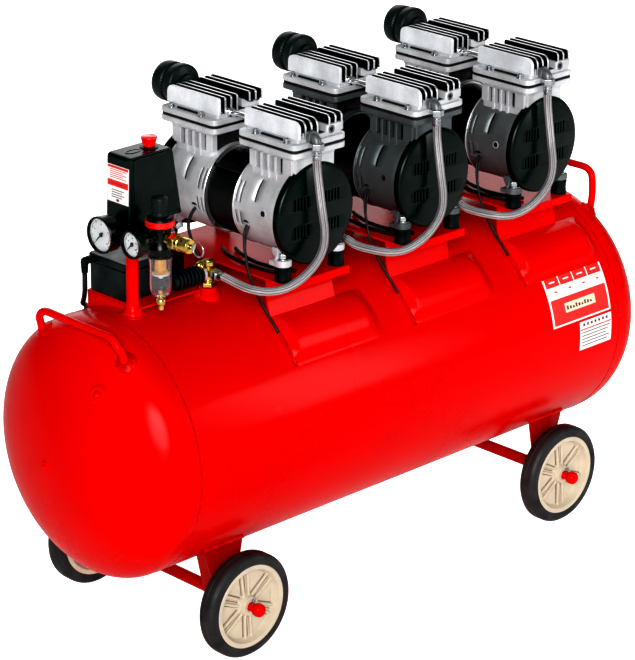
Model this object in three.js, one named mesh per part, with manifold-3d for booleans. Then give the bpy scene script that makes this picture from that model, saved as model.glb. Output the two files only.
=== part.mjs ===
// Three-motor, six-cylinder oil-free air compressor on a 100 litre horizontal tank with four wheels.
// Millimetres, +Z up. X runs along the tank with the controls at -X, Y runs across it with the
// discharge hoses at -Y, and z = 0 is the floor under the wheels, midway along the tank.
import * as THREE from 'three';
import { mergeVertices } from 'three/addons/utils/BufferGeometryUtils.js';
import Module from 'manifold-3d';

const wasm = await Module();
wasm.setup();

// ---- driving dimensions ----
const GAP = 0.3;                       // clearance left between neighbouring pieces
const TANK_RADIUS = 184;
const TANK_LENGTH = 1046;
const DOME_DEPTH = 88;
const TANK_WALL = 3;
const TANK_Z = 291;                    // height of the tank's axis
const BOSS_TOP = 486;                  // top of the valve bosses on the tank
const WHEEL_RADIUS = 75;
const WHEEL_WIDTH = 28;
const WHEEL_X = 324;                   // half the wheelbase
const WHEEL_Y = 160;                   // half the track, to the wheel's middle
const AXLE_RADIUS = 6;
const AXLE_END = 196;
const LEG_Y = 126;                     // outer face of the leg plates
const UNIT_PITCH = 231.5;
const UNIT_X = [-160, 71.5, 303];      // middles of the three pump units
const SHAFT_Z = 589;
const CASE_RADIUS = 63;                // crankcase
const CASE_END = 115;                  // outer end of each crankcase
const MOTOR_HALF = 27.5;               // half the motor shell's width
const COVER_END = 127;                 // outer face of each fan cover
const COVER_RADIUS = 71.5;
const SHEET = 3;                       // thickness of the bracket sheet
const PLATFORM = { top: 502, x: 62, y: 130 };
const FOOT = { x: 50, y: 114, top: 523 };
const FLANGE_X = 50;                   // half the cylinder flange's width
const FLANGE_Z = [674.5, 684];
const HEAD_BASE_TOP = 695;
const FIN_TOP = 723.5;
const FIN_X = [-36, -25, -14, -3, 20, 31.5, 43];
const FIN_THICK = 3.2;
const PORT = { x: -17, z: 701.5 };     // discharge and crossover ports
const HOSE_RADIUS = 6.3;
const POST = { x: -393.6, y: -17.5 };    // riser from the tank to the pressure switch
const MANIFOLD_Z = 598;
const SWITCH_Z = [607, 699];
const REGULATOR_Y = -74;
const VALVE = { x: -268.5, y: -28.5, z: 507 };
const CONTROL_BOX = { x: [-395, -286], y: [-5, 72], z: [487, 540] };
const CORD_RADIUS = 3.5;
const COIL = { x: -173, y: 262, radius: 47, across: 3, layers: 2 };

// ---- materials ----
const finish = (color, metalness, roughness) => new THREE.MeshStandardMaterial({ color, metalness, roughness });
const RED = finish(0xd01010, 0.3, 0.3);
const ALUMINIUM = finish(0xb8babd, 0.9, 0.45);
const GREY = finish(0x55585c, 0.8, 0.5);
const BLACK = finish(0x15181a, 0.1, 0.5);
const RUBBER = finish(0x101112, 0, 0.8);
const BRASS = finish(0xc8a23c, 1, 0.35);
const STEEL = finish(0xc0c3c6, 1, 0.3);
const CLEAR = finish(0xe8eef0, 0, 0.1);
const KNOB_RED = finish(0xe01818, 0, 0.4);

// ---- solids ----
// Turns a closed three.js geometry into a solid that can be joined and cut.
function solid(geometry) {
  geometry.deleteAttribute('normal');
  geometry.deleteAttribute('uv');
  const merged = mergeVertices(geometry, 1e-4);
  const position = merged.attributes.position.array;
  const point = (i) => new THREE.Vector3().fromArray(position, 3 * i);
  const corners = [];
  let volume = 0;
  for (let t = 0; t < merged.index.count; t += 3) {
    const [a, b, c] = [0, 1, 2].map((k) => merged.index.getX(t + k));
    if (a === b || b === c || c === a) continue;
    corners.push(a, b, c);
    volume += point(a).dot(point(b).cross(point(c)));
  }
  if (volume < 0) corners.reverse();
  const triVerts = Uint32Array.from(corners);
  return new wasm.Manifold(new wasm.Mesh({ numProp: 3, vertProperties: Float32Array.from(position), triVerts }));
}

function toGeometry(manifold) {
  const mesh = manifold.getMesh();
  const geometry = new THREE.BufferGeometry();
  geometry.setAttribute('position', new THREE.BufferAttribute(mesh.vertProperties, 3));
  geometry.setIndex(new THREE.BufferAttribute(mesh.triVerts, 1));
  geometry.computeVertexNormals();
  return geometry;
}

const join = (...parts) => parts.flat().reduce((sum, part) => sum.add(part));

function box([x0, x1], [y0, y1], [z0, z1]) {
  const geometry = new THREE.BoxGeometry(x1 - x0, y1 - y0, z1 - z0);
  geometry.translate((x0 + x1) / 2, (y0 + y1) / 2, (z0 + z1) / 2);
  return solid(geometry);
}

// A straight round bar from one point to another; endRadius makes it taper.
function bar(from, to, radius, sides = 10, endRadius = radius) {
  const start = new THREE.Vector3(...from);
  const end = new THREE.Vector3(...to);
  const geometry = new THREE.CylinderGeometry(endRadius, radius, start.distanceTo(end), sides);
  const direction = end.clone().sub(start).normalize();
  geometry.applyQuaternion(new THREE.Quaternion().setFromUnitVectors(new THREE.Vector3(0, 1, 0), direction));
  geometry.translate(...start.add(end).multiplyScalar(0.5).toArray());
  return solid(geometry);
}

// Turns a profile of [radius, distance along the axis] pairs about the X, Y or Z axis through centre.
function turned(profile, axis, centre, sides, startAngle = Math.PI / sides) {
  const points = profile.map(([radius, along]) => new THREE.Vector2(radius, along));
  const geometry = new THREE.LatheGeometry(points, sides, startAngle);
  if (axis === 'x') geometry.rotateZ(-Math.PI / 2);
  if (axis === 'z') geometry.rotateX(Math.PI / 2);
  geometry.translate(...centre);
  return solid(geometry);
}

// A tube that follows a smooth curve through the points.
function tube(points, radius, sides, steps) {
  const path = new THREE.CatmullRomCurve3(points.map((p) => new THREE.Vector3(...p)), false, 'centripetal');
  const corner = (_, i) => new THREE.Vector2(radius, 0).rotateAround(new THREE.Vector2(), (i * 2 * Math.PI) / sides);
  const section = new THREE.Shape(Array.from({ length: sides }, corner));
  return solid(new THREE.ExtrudeGeometry(section, { steps, extrudePath: path, bevelEnabled: false }));
}

// Extrudes an outline of [y, z] pairs along X.
function plateAlongX(outline, [x0, x1]) {
  const shape = new THREE.Shape(outline.map(([y, z]) => new THREE.Vector2(y, z)));
  const geometry = new THREE.ExtrudeGeometry(shape, { depth: x1 - x0, bevelEnabled: false });
  geometry.rotateY(Math.PI / 2);
  geometry.rotateX(Math.PI / 2);
  geometry.translate(x0, 0, 0);
  return solid(geometry);
}

// Extrudes an outline of [x, z] pairs along Y.
function plateAlongY(outline, [y0, y1]) {
  const shape = new THREE.Shape(outline.map(([x, z]) => new THREE.Vector2(x, z)));
  const geometry = new THREE.ExtrudeGeometry(shape, { depth: y1 - y0, bevelEnabled: false });
  geometry.rotateX(Math.PI / 2);
  geometry.translate(0, y1, 0);
  return solid(geometry);
}

// A stretch along Y that lies on the rear side (end = 1) or mirrored on the front side (end = -1).
const span = (end, near, far) => (end < 0 ? [-far, -near] : [near, far]);

// The tank's outline grown by offset: an elliptical dome at each end of a straight middle.
function tankSpace(offset, sides, segments) {
  const straight = TANK_LENGTH / 2 - DOME_DEPTH;
  const dome = (end) => Array.from({ length: segments + 1 }, (_, i) => {
    const angle = (Math.PI / 2) * (i / segments);
    const radius = i === 0 ? 0 : (TANK_RADIUS + offset) * Math.sin(angle);
    return [radius, end * (straight + (DOME_DEPTH + offset) * Math.cos(angle))];
  });
  return turned([...dome(-1), ...dome(1).reverse()], 'x', [0, 0, TANK_Z], sides, 0);
}
const TANK_SIDES = 32;
const TANK_SEGMENTS = 5;
const tankClear = tankSpace(GAP, TANK_SIDES, TANK_SEGMENTS);

// Height of the dome's surface at a place on it.
function domeTop(x, y) {
  const run = (x - TANK_LENGTH / 2 + DOME_DEPTH) / DOME_DEPTH;
  return TANK_Z + Math.sqrt(TANK_RADIUS ** 2 * (1 - run ** 2) - y ** 2);
}

const group = new THREE.Group();
function add(name, shape, material, parent = group) {
  const mesh = new THREE.Mesh(toGeometry(shape), material);
  mesh.name = name;
  parent.add(mesh);
}

// ---- tank ----
const DRAIN_BORE = 7;
const DRAIN_TOP = TANK_Z - TANK_RADIUS - 8;

function tankShell() {
  const bosses = UNIT_X.map((_, i) => {
    const x = VALVE.x + i * UNIT_PITCH;
    return bar([x, VALVE.y, TANK_Z + TANK_RADIUS - 10], [x, VALVE.y, BOSS_TOP], 15, 12, 11.5);
  });
  const drainBoss = bar([0, 0, DRAIN_TOP], [0, 0, DRAIN_TOP + 12], 15);
  const drain = bar([0, 0, DRAIN_TOP - 5], [0, 0, DRAIN_TOP + 30], DRAIN_BORE);
  const outside = join(tankSpace(0, TANK_SIDES, TANK_SEGMENTS), bosses, drainBoss);
  return outside.subtract(tankSpace(-TANK_WALL, 20, 3)).subtract(drain);
}
add('tank_shell', tankShell(), RED);

// A bent round bar on a dome, with a pad welded under each foot.
function handle(end, footX, barX, barTop) {
  const footY = 84;
  const footZ = domeTop(footX, footY) + 4;
  const half = [[end * footX, footY, footZ], [end * (barX - 1), footY - 3, (footZ + barTop) / 2 + 2],
    [end * barX, 68, barTop - 4], [end * barX, 52, barTop], [end * barX, 18, barTop]];
  const otherHalf = half.map(([x, y, z]) => [x, -y, z]).reverse();
  const pads = [-footY, footY].map((y) => bar([end * footX, y, footZ - 9], [end * footX, y, footZ + 1], 13, 10));
  return join(tube([...half, ...otherHalf], 5.5, 8, 18), pads).subtract(tankClear);
}
add('handle_left', handle(-1, 466, 475, 477), RED);
add('handle_right', handle(1, 464, 471, 505), RED);

// ---- running gear ----
// Two plates under the tank carry a through axle with a round cap on each end; each plate has a flange folded
// along its outer edge.
function wheelFrame(end) {
  const axle = end * WHEEL_X;
  const outer = axle + end * 42;
  const inner = axle - end * 28;
  const toe = axle + end * 16;
  const plate = [[outer, 190], [inner, 190], [axle - end * 16, 62], [toe, 62]];
  const flange = [[outer, 190], [outer - end * 4, 190], [toe - end * 4, 64], [toe, 64]];
  const legs = [-1, 1].flatMap((side) => [
    plateAlongY(plate, span(side, LEG_Y - 4, LEG_Y)),
    plateAlongY(flange, span(side, LEG_Y - 26, LEG_Y)),
  ]);
  const sleeve = bar([axle, -LEG_Y - 10, WHEEL_RADIUS], [axle, LEG_Y + 10, WHEEL_RADIUS], 9);
  const rod = bar([axle, -AXLE_END, WHEEL_RADIUS], [axle, AXLE_END, WHEEL_RADIUS], AXLE_RADIUS);
  const caps = [-1, 1].map((side) => (
    bar([axle, side * (AXLE_END - 15), WHEEL_RADIUS], [axle, side * AXLE_END, WHEEL_RADIUS], 9.5)));
  return join(legs, sleeve, rod, caps).subtract(tankClear);
}
add('wheel_frame_left', wheelFrame(-1), RED);
add('wheel_frame_right', wheelFrame(1), RED);

// Hub, recessed disc, rim and tyre turned as one ring, with a flat of the tread on the floor.
function wheel() {
  const sides = 20;
  const tread = WHEEL_RADIUS / Math.cos(Math.PI / sides);
  const half = WHEEL_WIDTH / 2;
  const face = [[AXLE_RADIUS + 0.5, half - 1], [15, half - 1], [16, 4], [54, 4], [57, half - 1], [68, half], [tread, 6]];
  const back = face.map(([radius, along]) => [radius, -along]).reverse();
  return turned([...face, ...back, face[0]], 'y', [0, 0, 0], sides);
}
[[-1, -1], [-1, 1], [1, -1], [1, 1]].forEach(([end, side], i) => {
  const hub = new THREE.Group();
  hub.position.set(end * WHEEL_X, side * WHEEL_Y, WHEEL_RADIUS);
  group.add(hub);
  add(`wheel_${i + 1}`, wheel(), RUBBER, hub);
});

// ---- pump units, each drawn about its own middle ----
// Platform, legs, feet that follow the tank's side, a pressed bulge on each foot, and four isolators.
function motorBracket() {
  const legY = 92;
  const footEnd = 154;
  const reach = TANK_RADIUS + 2;
  const bulge = { radius: 22, reach: TANK_RADIUS + 14 - 22, angle: Math.asin(128 / TANK_RADIUS), length: 88 };
  const arc = (radius) => Array.from({ length: 5 }, (_, i) => {
    const start = Math.asin((legY + 10) / reach);
    const angle = start + ((Math.asin(footEnd / reach) - start) * i) / 4;
    return [radius * Math.sin(angle), TANK_Z + radius * Math.cos(angle)];
  });
  const leg = [[legY, PLATFORM.top - 1], [legY, 468], ...arc(reach - 2), ...arc(reach + SHEET).reverse(),
    [legY + SHEET, 469], [legY + SHEET, PLATFORM.top - 1]];
  const apron = [...arc(reach - 2), ...arc(reach + SHEET).reverse()];
  const platform = box([-PLATFORM.x, PLATFORM.x], [-PLATFORM.y, PLATFORM.y], [PLATFORM.top - SHEET, PLATFORM.top]);
  const sides = [-1, 1].flatMap((side) => {
    const capsule = new THREE.CapsuleGeometry(bulge.radius, bulge.length, 2, 10);
    capsule.rotateZ(Math.PI / 2);
    capsule.translate(41, side * bulge.reach * Math.sin(bulge.angle), TANK_Z + bulge.reach * Math.cos(bulge.angle));
    const isolator = (x) => bar([x, side * FOOT.y, PLATFORM.top - 1], [x, side * FOOT.y, FOOT.top], 11.5, 8);
    return [
      plateAlongX(leg.map(([y, z]) => [side * y, z]), [-PLATFORM.x, PLATFORM.x]),
      plateAlongX(apron.map(([y, z]) => [side * y, z]), [-PLATFORM.x, PLATFORM.x + 50]),
      solid(capsule), isolator(-FOOT.x), isolator(FOOT.x),
    ];
  });
  return join(platform, sides).subtract(tankClear);
}

// One end's casting: bearing wall, crank chamber, cylinder block, flange and feet.
function crankcase(end) {
  const chamber = CASE_RADIUS - 6;
  const wallEnd = 40;
  const wall = MOTOR_HALF + GAP;
  const profile = [[CASE_RADIUS, wall], [CASE_RADIUS, CASE_END], [chamber, CASE_END], [chamber, wallEnd],
    [9, wallEnd], [9, wall], [CASE_RADIUS, wall]];
  const ring = turned(profile.map(([radius, y]) => [radius, end * y]), 'y', [0, 0, SHAFT_Z], 16);
  const block = box([-40, 40], span(end, 36, CASE_END), [SHAFT_Z + 20, FLANGE_Z[0] + 1]);
  const web = plateAlongY([[-56, FOOT.top + 1], [56, FOOT.top + 1], [44, 556], [-44, 556]],
    span(end, CASE_END - 12, CASE_END));
  const hollow = bar([0, end * (wallEnd - 1), SHAFT_Z], [0, end * (CASE_END + 2), SHAFT_Z], chamber - 2, 16);
  const cylinder = bar([0, end * 80, SHAFT_Z + 10], [0, end * 80, FLANGE_Z[1] + 5], 29);
  const feet = [[-PLATFORM.x, -40], [40, PLATFORM.x]].map((x) => (
    box(x, span(end, FOOT.y - 10, FOOT.y + 9), [FOOT.top + GAP, FOOT.top + 6])));
  const flange = box([-FLANGE_X, FLANGE_X], span(end, 22, 134), FLANGE_Z);
  return join(ring, join(block, web).subtract(hollow), feet, flange).subtract(cylinder);
}

// Stator ring with the supply lead that runs down past the platform to the tank.
function motorShell() {
  const outside = [59, MOTOR_HALF];
  const bore = [37, MOTOR_HALF];
  const profile = [outside, bore, [bore[0], -MOTOR_HALF], [outside[0], -MOTOR_HALF], outside];
  const lead = tube([[-40, -14, 550], [-52, -15, 533], [-65, -22, 516], [-71, -45, 501], [-70, -72, 488],
    [-68.5, -92, 469], [-67, -108, 449], [-66.5, -121, 435]], 2.5, 6, 10);
  return join(turned(profile, 'y', [0, 0, SHAFT_Z], 24), lead);
}

// Shaft, rotor core, two eccentric counterweights and two fans, all about the shaft's own line.
function rotor() {
  const ends = [-1, 1].flatMap((end) => {
    const blades = [[51, 6], [6, 51]].map(([x, z]) => (
      box([-x, x], span(end, 104, 107), [-z, z])));
    return [
      bar([0, end * 62, end * 8], [0, end * 76, end * 8], 24),
      bar([0, end * 98, 0], [0, end * 113, 0], 14, 8),
      ...blades,
    ];
  });
  return join(bar([0, -CASE_END, 0], [0, CASE_END, 0], 7, 8), bar([0, -24, 0], [0, 24, 0], 35, 14), ends);
}

// Both finned heads with the chrome crossover pipe between them.
function heads() {
  const half = FIN_THICK / 2;
  const fins = FIN_X.flatMap((x) => [[x - half, 704], [x - half, FIN_TOP], [x + half, FIN_TOP], [x + half, 704]]);
  const comb = [[-FLANGE_X, 690], [-FLANGE_X, HEAD_BASE_TOP], [FIN_X[0] - half, HEAD_BASE_TOP], ...fins.slice(1, -1),
    [FIN_X.at(-1) + half, HEAD_BASE_TOP], [FLANGE_X, HEAD_BASE_TOP], [FLANGE_X, 690]];
  const ends = [-1, 1].flatMap((end) => [
    box([-FLANGE_X, FLANGE_X], span(end, 22, 134), [FLANGE_Z[1] + GAP, HEAD_BASE_TOP]),
    plateAlongY(comb, span(end, 25.4, 131)),
    box([PORT.x - 9, PORT.x + 9], span(end, 30, 131), [HEAD_BASE_TOP - 1, 709]),
  ]);
  return join(ends, bar([PORT.x, -31, PORT.z], [PORT.x, 31, PORT.z], 4.5));
}

// Cup over the fan with four air windows in its face.
function fanCover(end) {
  const mouth = CASE_END + GAP;
  const profile = [[0, COVER_END], [62, COVER_END], [COVER_RADIUS, COVER_END - 5], [COVER_RADIUS, mouth], [64, mouth],
    [60, COVER_END - 3], [0, COVER_END - 3]];
  const cup = turned(profile.map(([radius, y]) => [radius, end * y]), 'y', [0, 0, SHAFT_Z], 18);
  const windows = [-32, 32].flatMap((x) => [-22, 22].map((z) => (
    box([x - 11, x + 11], span(end, mouth, COVER_END + 5), [SHAFT_Z + z - 11, SHAFT_Z + z + 11]))));
  return cup.subtract(join(windows));
}

function intakeFilter() {
  const neck = 131 + GAP;
  const profile = [[0, neck], [17, neck], [17, 139], [28, 139], [29.5, 142], [29.5, 154], [26.5, 158], [28.5, 162],
    [28.5, 176], [24, 183], [0, 183]];
  const base = box([-60, 60], [100, 134 + GAP], [640, HEAD_BASE_TOP + GAP]);
  return turned(profile, 'y', [3, 0, 712], 14).subtract(base);
}

// Elbow on the front head, ferrule, and the braided hose that swings down to a valve on the tank.
// The first unit's hose ends at the check valve's side; the others carry an elbow down to their boss.
function hose(isFirst) {
  const boss = VALVE.x - UNIT_X[0];
  const fall = [[-15, -143, 652], [-9, -146, 600], [-6, -148, 572], [-9, -149, 549], [-22, -149, 530],
    [-46, -149, 515]];
  const sweep = isFirst
    ? [[-75, -148, 507], [-103, -143, 507], [-120, -128, 510], [-123, -108, 512], [-118, -86, 511], [boss - 1, -62, 508]]
    : [[-77, -148, 507], [-101, -140, 506], [-114, -115, 507], [-116, -88, 507], [boss, -64, 507]];
  const end = [boss, -52, VALVE.z];
  const nutEnd = [boss, -41, VALVE.z];
  const parts = [
    tube([[PORT.x, -143, 676], ...fall, ...sweep, end], HOSE_RADIUS, 6, 20),
    bar([PORT.x, -131 - GAP, PORT.z], [PORT.x, -143, PORT.z], 6, 8),
    bar([PORT.x, -143, PORT.z + 6], [PORT.x, -143, 684], 7, 8),
    bar([PORT.x, -143, 685], [PORT.x, -143, 672], 9, 6),
    bar([PORT.x, -143, 673], [PORT.x + 1, -143, 658], 7.5, 8),
    bar([boss, -66, VALVE.z], end, 8, 8),
    bar(end, nutEnd, 9, 6),
  ];
  if (isFirst) return join(parts);
  return join(parts, bar(nutEnd, [boss, VALVE.y + 4, VALVE.z], 6.5, 8),
    bar([boss, VALVE.y, BOSS_TOP + GAP], [boss, VALVE.y, VALVE.z + 6], 8, 8));
}

UNIT_X.forEach((x, i) => {
  const unit = new THREE.Group();
  unit.position.x = x;
  group.add(unit);
  const shaft = new THREE.Group();
  shaft.position.z = SHAFT_Z;
  unit.add(shaft);
  const casting = i === 1 ? GREY : ALUMINIUM;
  const number = i + 1;
  add(`motor_bracket_${number}`, motorBracket(), RED, unit);
  add(`crankcase_front_${number}`, crankcase(-1), casting, unit);
  add(`crankcase_rear_${number}`, crankcase(1), casting, unit);
  add(`motor_shell_${number}`, motorShell(), BLACK, unit);
  add(`rotor_${number}`, rotor(), STEEL, shaft);
  add(`heads_${number}`, heads(), ALUMINIUM, unit);
  add(`fan_cover_front_${number}`, fanCover(-1), BLACK, unit);
  add(`fan_cover_rear_${number}`, fanCover(1), BLACK, unit);
  add(`intake_filter_${number}`, intakeFilter(), BLACK, unit);
  add(`hose_${number}`, hose(i === 0), STEEL, unit);
});

// ---- controls ----
// Bent plate welded to the tank under the control box, with the riser post at its corner.
function controlBoxBracket() {
  const [left, right] = CONTROL_BOX.x;
  const top = CONTROL_BOX.z[0] - GAP;
  const depth = [-32, 74];
  const flanges = [left, right - SHEET].map((x) => box([x, x + SHEET], depth, [440, top - 1]));
  return join(
    box(CONTROL_BOX.x, depth, [top - SHEET, top]), flanges,
    bar([POST.x, POST.y, 465], [POST.x, POST.y, MANIFOLD_Z - 22], 8.5),
    bar([POST.x, POST.y, 465], [POST.x, POST.y, 480], 15, 12, 10),
  ).subtract(tankClear);
}
add('control_box_bracket', controlBoxBracket(), RED);
add('control_box', box(CONTROL_BOX.x, CONTROL_BOX.y, CONTROL_BOX.z), BLACK);

const TANK_GAUGE = { x: -450, y: POST.y, radius: 25.5, depth: 21 };
const LINE_GAUGE = { x: -446, y: REGULATOR_Y, radius: 19.5, depth: 18 };
const STEM = 3;                        // length of the gauge stem behind its case
const gaugePort = (gauge) => gauge.x + gauge.depth + STEM + GAP;

// Cross on top of the riser: gauge port to -X, regulator port to -Y, unloader to +X.
function manifold() {
  const { x, y } = POST;
  const unloader = [x + 58, y, MANIFOLD_Z - 6];
  return join(
    bar([x, y, MANIFOLD_Z - 22 + GAP], [x, y, SWITCH_Z[0] - GAP], 12, 6),
    bar([x, y, MANIFOLD_Z], [gaugePort(TANK_GAUGE), y, MANIFOLD_Z], 7, 10),
    bar([x, y, MANIFOLD_Z], [x, REGULATOR_Y + 15, MANIFOLD_Z], 7, 10),
    bar([x, y, MANIFOLD_Z - 6], [unloader[0] + 4, y, MANIFOLD_Z - 6], 7, 10),
    bar(unloader, [unloader[0], -46, MANIFOLD_Z - 6], 5.5, 10),
  );
}
add('manifold', manifold(), BRASS);

// Pressure switch cover, a little wider at its foot, with a hole for the pull knob.
const KNOB = { x: -361.5, y: -17.5, travel: 8 };
function switchCover() {
  const outline = [[-414, SWITCH_Z[1]], [-339, SWITCH_Z[1] + 1], [-324, SWITCH_Z[0]], [-417, SWITCH_Z[0]]];
  const hole = bar([KNOB.x, KNOB.y, SWITCH_Z[1] - 14], [KNOB.x, KNOB.y, SWITCH_Z[1] + 4], 5);
  return plateAlongY(outline, [-41, 6]).subtract(hole);
}
add('switch_cover', switchCover(), BLACK);
const knobProfile = [[0, -KNOB.travel], [4, -KNOB.travel], [4, 2], [7.5, 2], [7.5, 8], [11, 14], [11, 16], [0, 16]];
add('switch_knob', turned(knobProfile, 'z', [KNOB.x, KNOB.y, SWITCH_Z[1]], 12), KNOB_RED);

// Round case open to -X with the dial at its back.
const DIAL_DEPTH = 5;
function gaugeCase({ x, y, radius, depth }) {
  const profile = [[0, depth], [radius, depth], [radius, 0], [radius - 2.5, 0], [radius - 2.5, DIAL_DEPTH],
    [0, DIAL_DEPTH]];
  const stem = bar([x + depth - 1, y, MANIFOLD_Z], [x + depth + STEM, y, MANIFOLD_Z], 7, 6);
  return join(turned(profile, 'x', [x, y, MANIFOLD_Z], 20), stem);
}

// Needle at rest near the start of the scale, drawn about its own pivot.
function needle(length) {
  const geometry = new THREE.BoxGeometry(1, 2.4, length * 1.35);
  geometry.translate(0, 0, length * 0.325);
  geometry.rotateX(THREE.MathUtils.degToRad(-135));
  return join(solid(geometry), bar([-1, 0, 0], [1.2, 0, 0], 3, 10));
}
for (const [name, gauge] of [['tank', TANK_GAUGE], ['line', LINE_GAUGE]]) {
  const pivot = new THREE.Group();
  pivot.position.set(gauge.x + DIAL_DEPTH - 1.5, gauge.y, MANIFOLD_Z);
  group.add(pivot);
  add(`gauge_${name}`, gaugeCase(gauge), BLACK);
  add(`needle_${name}`, needle(gauge.radius * 0.56), BLACK, pivot);
}

// Filter regulator, turned about its own upright axis: ring and knob on top, clear bowl below.
const regulator = new THREE.Group();
regulator.position.set(POST.x, REGULATOR_Y, 0);
group.add(regulator);
const BOWL_TOP = 571;
const RING_TOP = 626;
function regulatorBody() {
  const profile = [[0, BOWL_TOP], [16.5, BOWL_TOP], [16.5, 584], [14.5, 587], [14.5, 609], [20, 613], [20, 624],
    [16, RING_TOP], [0, RING_TOP]];
  const port = bar([0, 0, MANIFOLD_Z], [gaugePort(LINE_GAUGE) - POST.x, 0, MANIFOLD_Z], 7, 10);
  return join(turned(profile, 'z', [0, 0, 0], 16), port);
}
add('regulator_body', regulatorBody(), BLACK, regulator);
const turnedUpright = (profile, sides) => turned(profile, 'z', [0, 0, 0], sides);
const topKnob = [[0, RING_TOP + GAP], [10.5, RING_TOP + GAP], [11, 650], [8, 653], [0, 653]];
add('regulator_knob', turnedUpright(topKnob, 14), BLACK, regulator);
const bowlRim = [16, BOWL_TOP - GAP];
const bowlWall = [bowlRim, [16, 530], [13, 517], [4, 514], [4, 516.5], [11.5, 519.5], [13.5, 531]];
add('filter_bowl', turnedUpright([...bowlWall, [13.5, BOWL_TOP - GAP], bowlRim], 16), CLEAR, regulator);
const drainScrew = [[0, 496], [4, 497], [4, 503], [6.5, 504], [6.5, 511], [3.2, 512], [3.2, 522], [0, 522]];
add('bowl_drain', turnedUpright(drainScrew, 10), BRASS, regulator);

// Relief valve on the regulator's side, with its spring stem and pull ring as the moving piece.
const RELIEF_Y = REGULATOR_Y - 15;
const reliefPoint = (along) => [POST.x, RELIEF_Y - along, MANIFOLD_Z];
const reliefBody = join(bar(reliefPoint(0), reliefPoint(12), 6.5), bar(reliefPoint(11), reliefPoint(22), 10, 6),
  bar(reliefPoint(21), reliefPoint(44), 8.5)).subtract(bar(reliefPoint(28), reliefPoint(50), 3.4, 10));
add('safety_valve', reliefBody, BRASS);
function safetyRing() {
  const ring = new THREE.TorusGeometry(10, 1.1, 5, 14);
  ring.rotateY(Math.PI / 2);
  ring.translate(...reliefPoint(58.5));
  return join(bar(reliefPoint(30), reliefPoint(50), 2.6, 10), solid(ring));
}
add('safety_ring', safetyRing(), STEEL);

// Brass check valve on its boss, with the finned silencer screwed into its -X side.
function checkValve() {
  const { x, y, z } = VALVE;
  const fins = Array.from({ length: 4 }, (_, i) => bar([x - 26 - i * 10, y, z], [x - 31 - i * 10, y, z], 13.5));
  return join(
    bar([x, y, BOSS_TOP + GAP], [x, y, 494], 10, 6),
    bar([x, y, 493], [x, y, 518], 8, 8),
    bar([x, y, 517], [x, y, 525], 9, 6),
    bar([x, y, z], [x, -41 + GAP, z], 7, 8),
    bar([x, y, z], [x - 12, y, z], 6.5, 8),
    bar([x - 11, y, z], [x - 66, y, z], 11),
    fins,
  );
}
add('check_valve', checkValve(), BRASS);

// Wing screw that closes the condensate drain under the tank.
function drainCock() {
  const top = DRAIN_TOP - GAP;
  return join(bar([0, 0, top - 14], [0, 0, top + 6], 6, 10), bar([0, 0, top - 7], [0, 0, top], 11, 6),
    box([-14, 14], [-1.5, 1.5], [top - 20, top - 10]));
}
add('drain_cock', drainCock(), BRASS);

// ---- power cord ----
// It leaves the control box through an elbow gland, drops behind the tank and is coiled on the floor.
const GLAND = { x: -409, y: 62, z: 533 };
function cordRelief() {
  const { x, y, z } = GLAND;
  return join(bar([CONTROL_BOX.x[0] - GAP, y, z], [x, y, z], 5.5), bar([x, y, z + 5], [x, y, z - 18], 6, 10, 4.2));
}
add('cord_relief', cordRelief(), BLACK);
const CORD_ROUTE = [[-409, 62, 514.7], [-409, 62.2, 503], [-408, 63.8, 490], [-405, 69.5, 477.5],
  [-399.5, 79, 467], [-389, 90, 459.5], [-376, 102.5, 452], [-361, 118.5, 441.5], [-346, 137, 426.5],
  [-333, 157, 402.5], [-320, 176, 369], [-310, 190, 328], [-303, 198, 276], [-298, 202.5, 218],
  [-292, 205, 160], [-284, 205.5, 105], [-273, 206.5, 63], [-262, 212, 42], [-249, 223, 22],
  [-239, 240, 8.8], [-234.9, 261.5, 3.9]];
add('cord_run', tube(CORD_ROUTE, CORD_RADIUS, 8, 32), RUBBER);
function cordCoil() {
  const inner = COIL.radius - COIL.across * CORD_RADIUS;
  const outer = COIL.radius + COIL.across * CORD_RADIUS;
  const height = 2 * COIL.layers * CORD_RADIUS;
  return turned([[inner, 0], [outer, 0], [outer, height], [inner, height], [inner, 0]], 'z', [COIL.x, COIL.y, 0], 20);
}
add('cord_coil', cordCoil(), RUBBER);
// A two-pin plug lying beside the coil, pins towards the tank.
function cordPlug() {
  const x = COIL.x + 73;
  const y = COIL.y - 26;
  const pin = (offset) => bar([x + offset, y - 34, 13], [x + offset, y - 54, 13], 2.4, 8);
  return join(bar([x - 10.5, COIL.y, 4.6], [x, y - 1, 12], 4.2, 10, 7), box([x - 14, x + 14], [y - 35, y], [2, 24]),
    pin(-9.5), pin(9.5));
}
add('cord_plug', cordPlug(), BLACK);

export default group;
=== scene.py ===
"""Looks of a three-motor oil-free air compressor: detailed pieces and materials on the CAD frame.

Every size and place below is in millimetres in the frame's own axes, and is scaled to metres when a mesh is made.
"""
import math

import bmesh
import bpy
from mathutils import Matrix, Vector, noise


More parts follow.
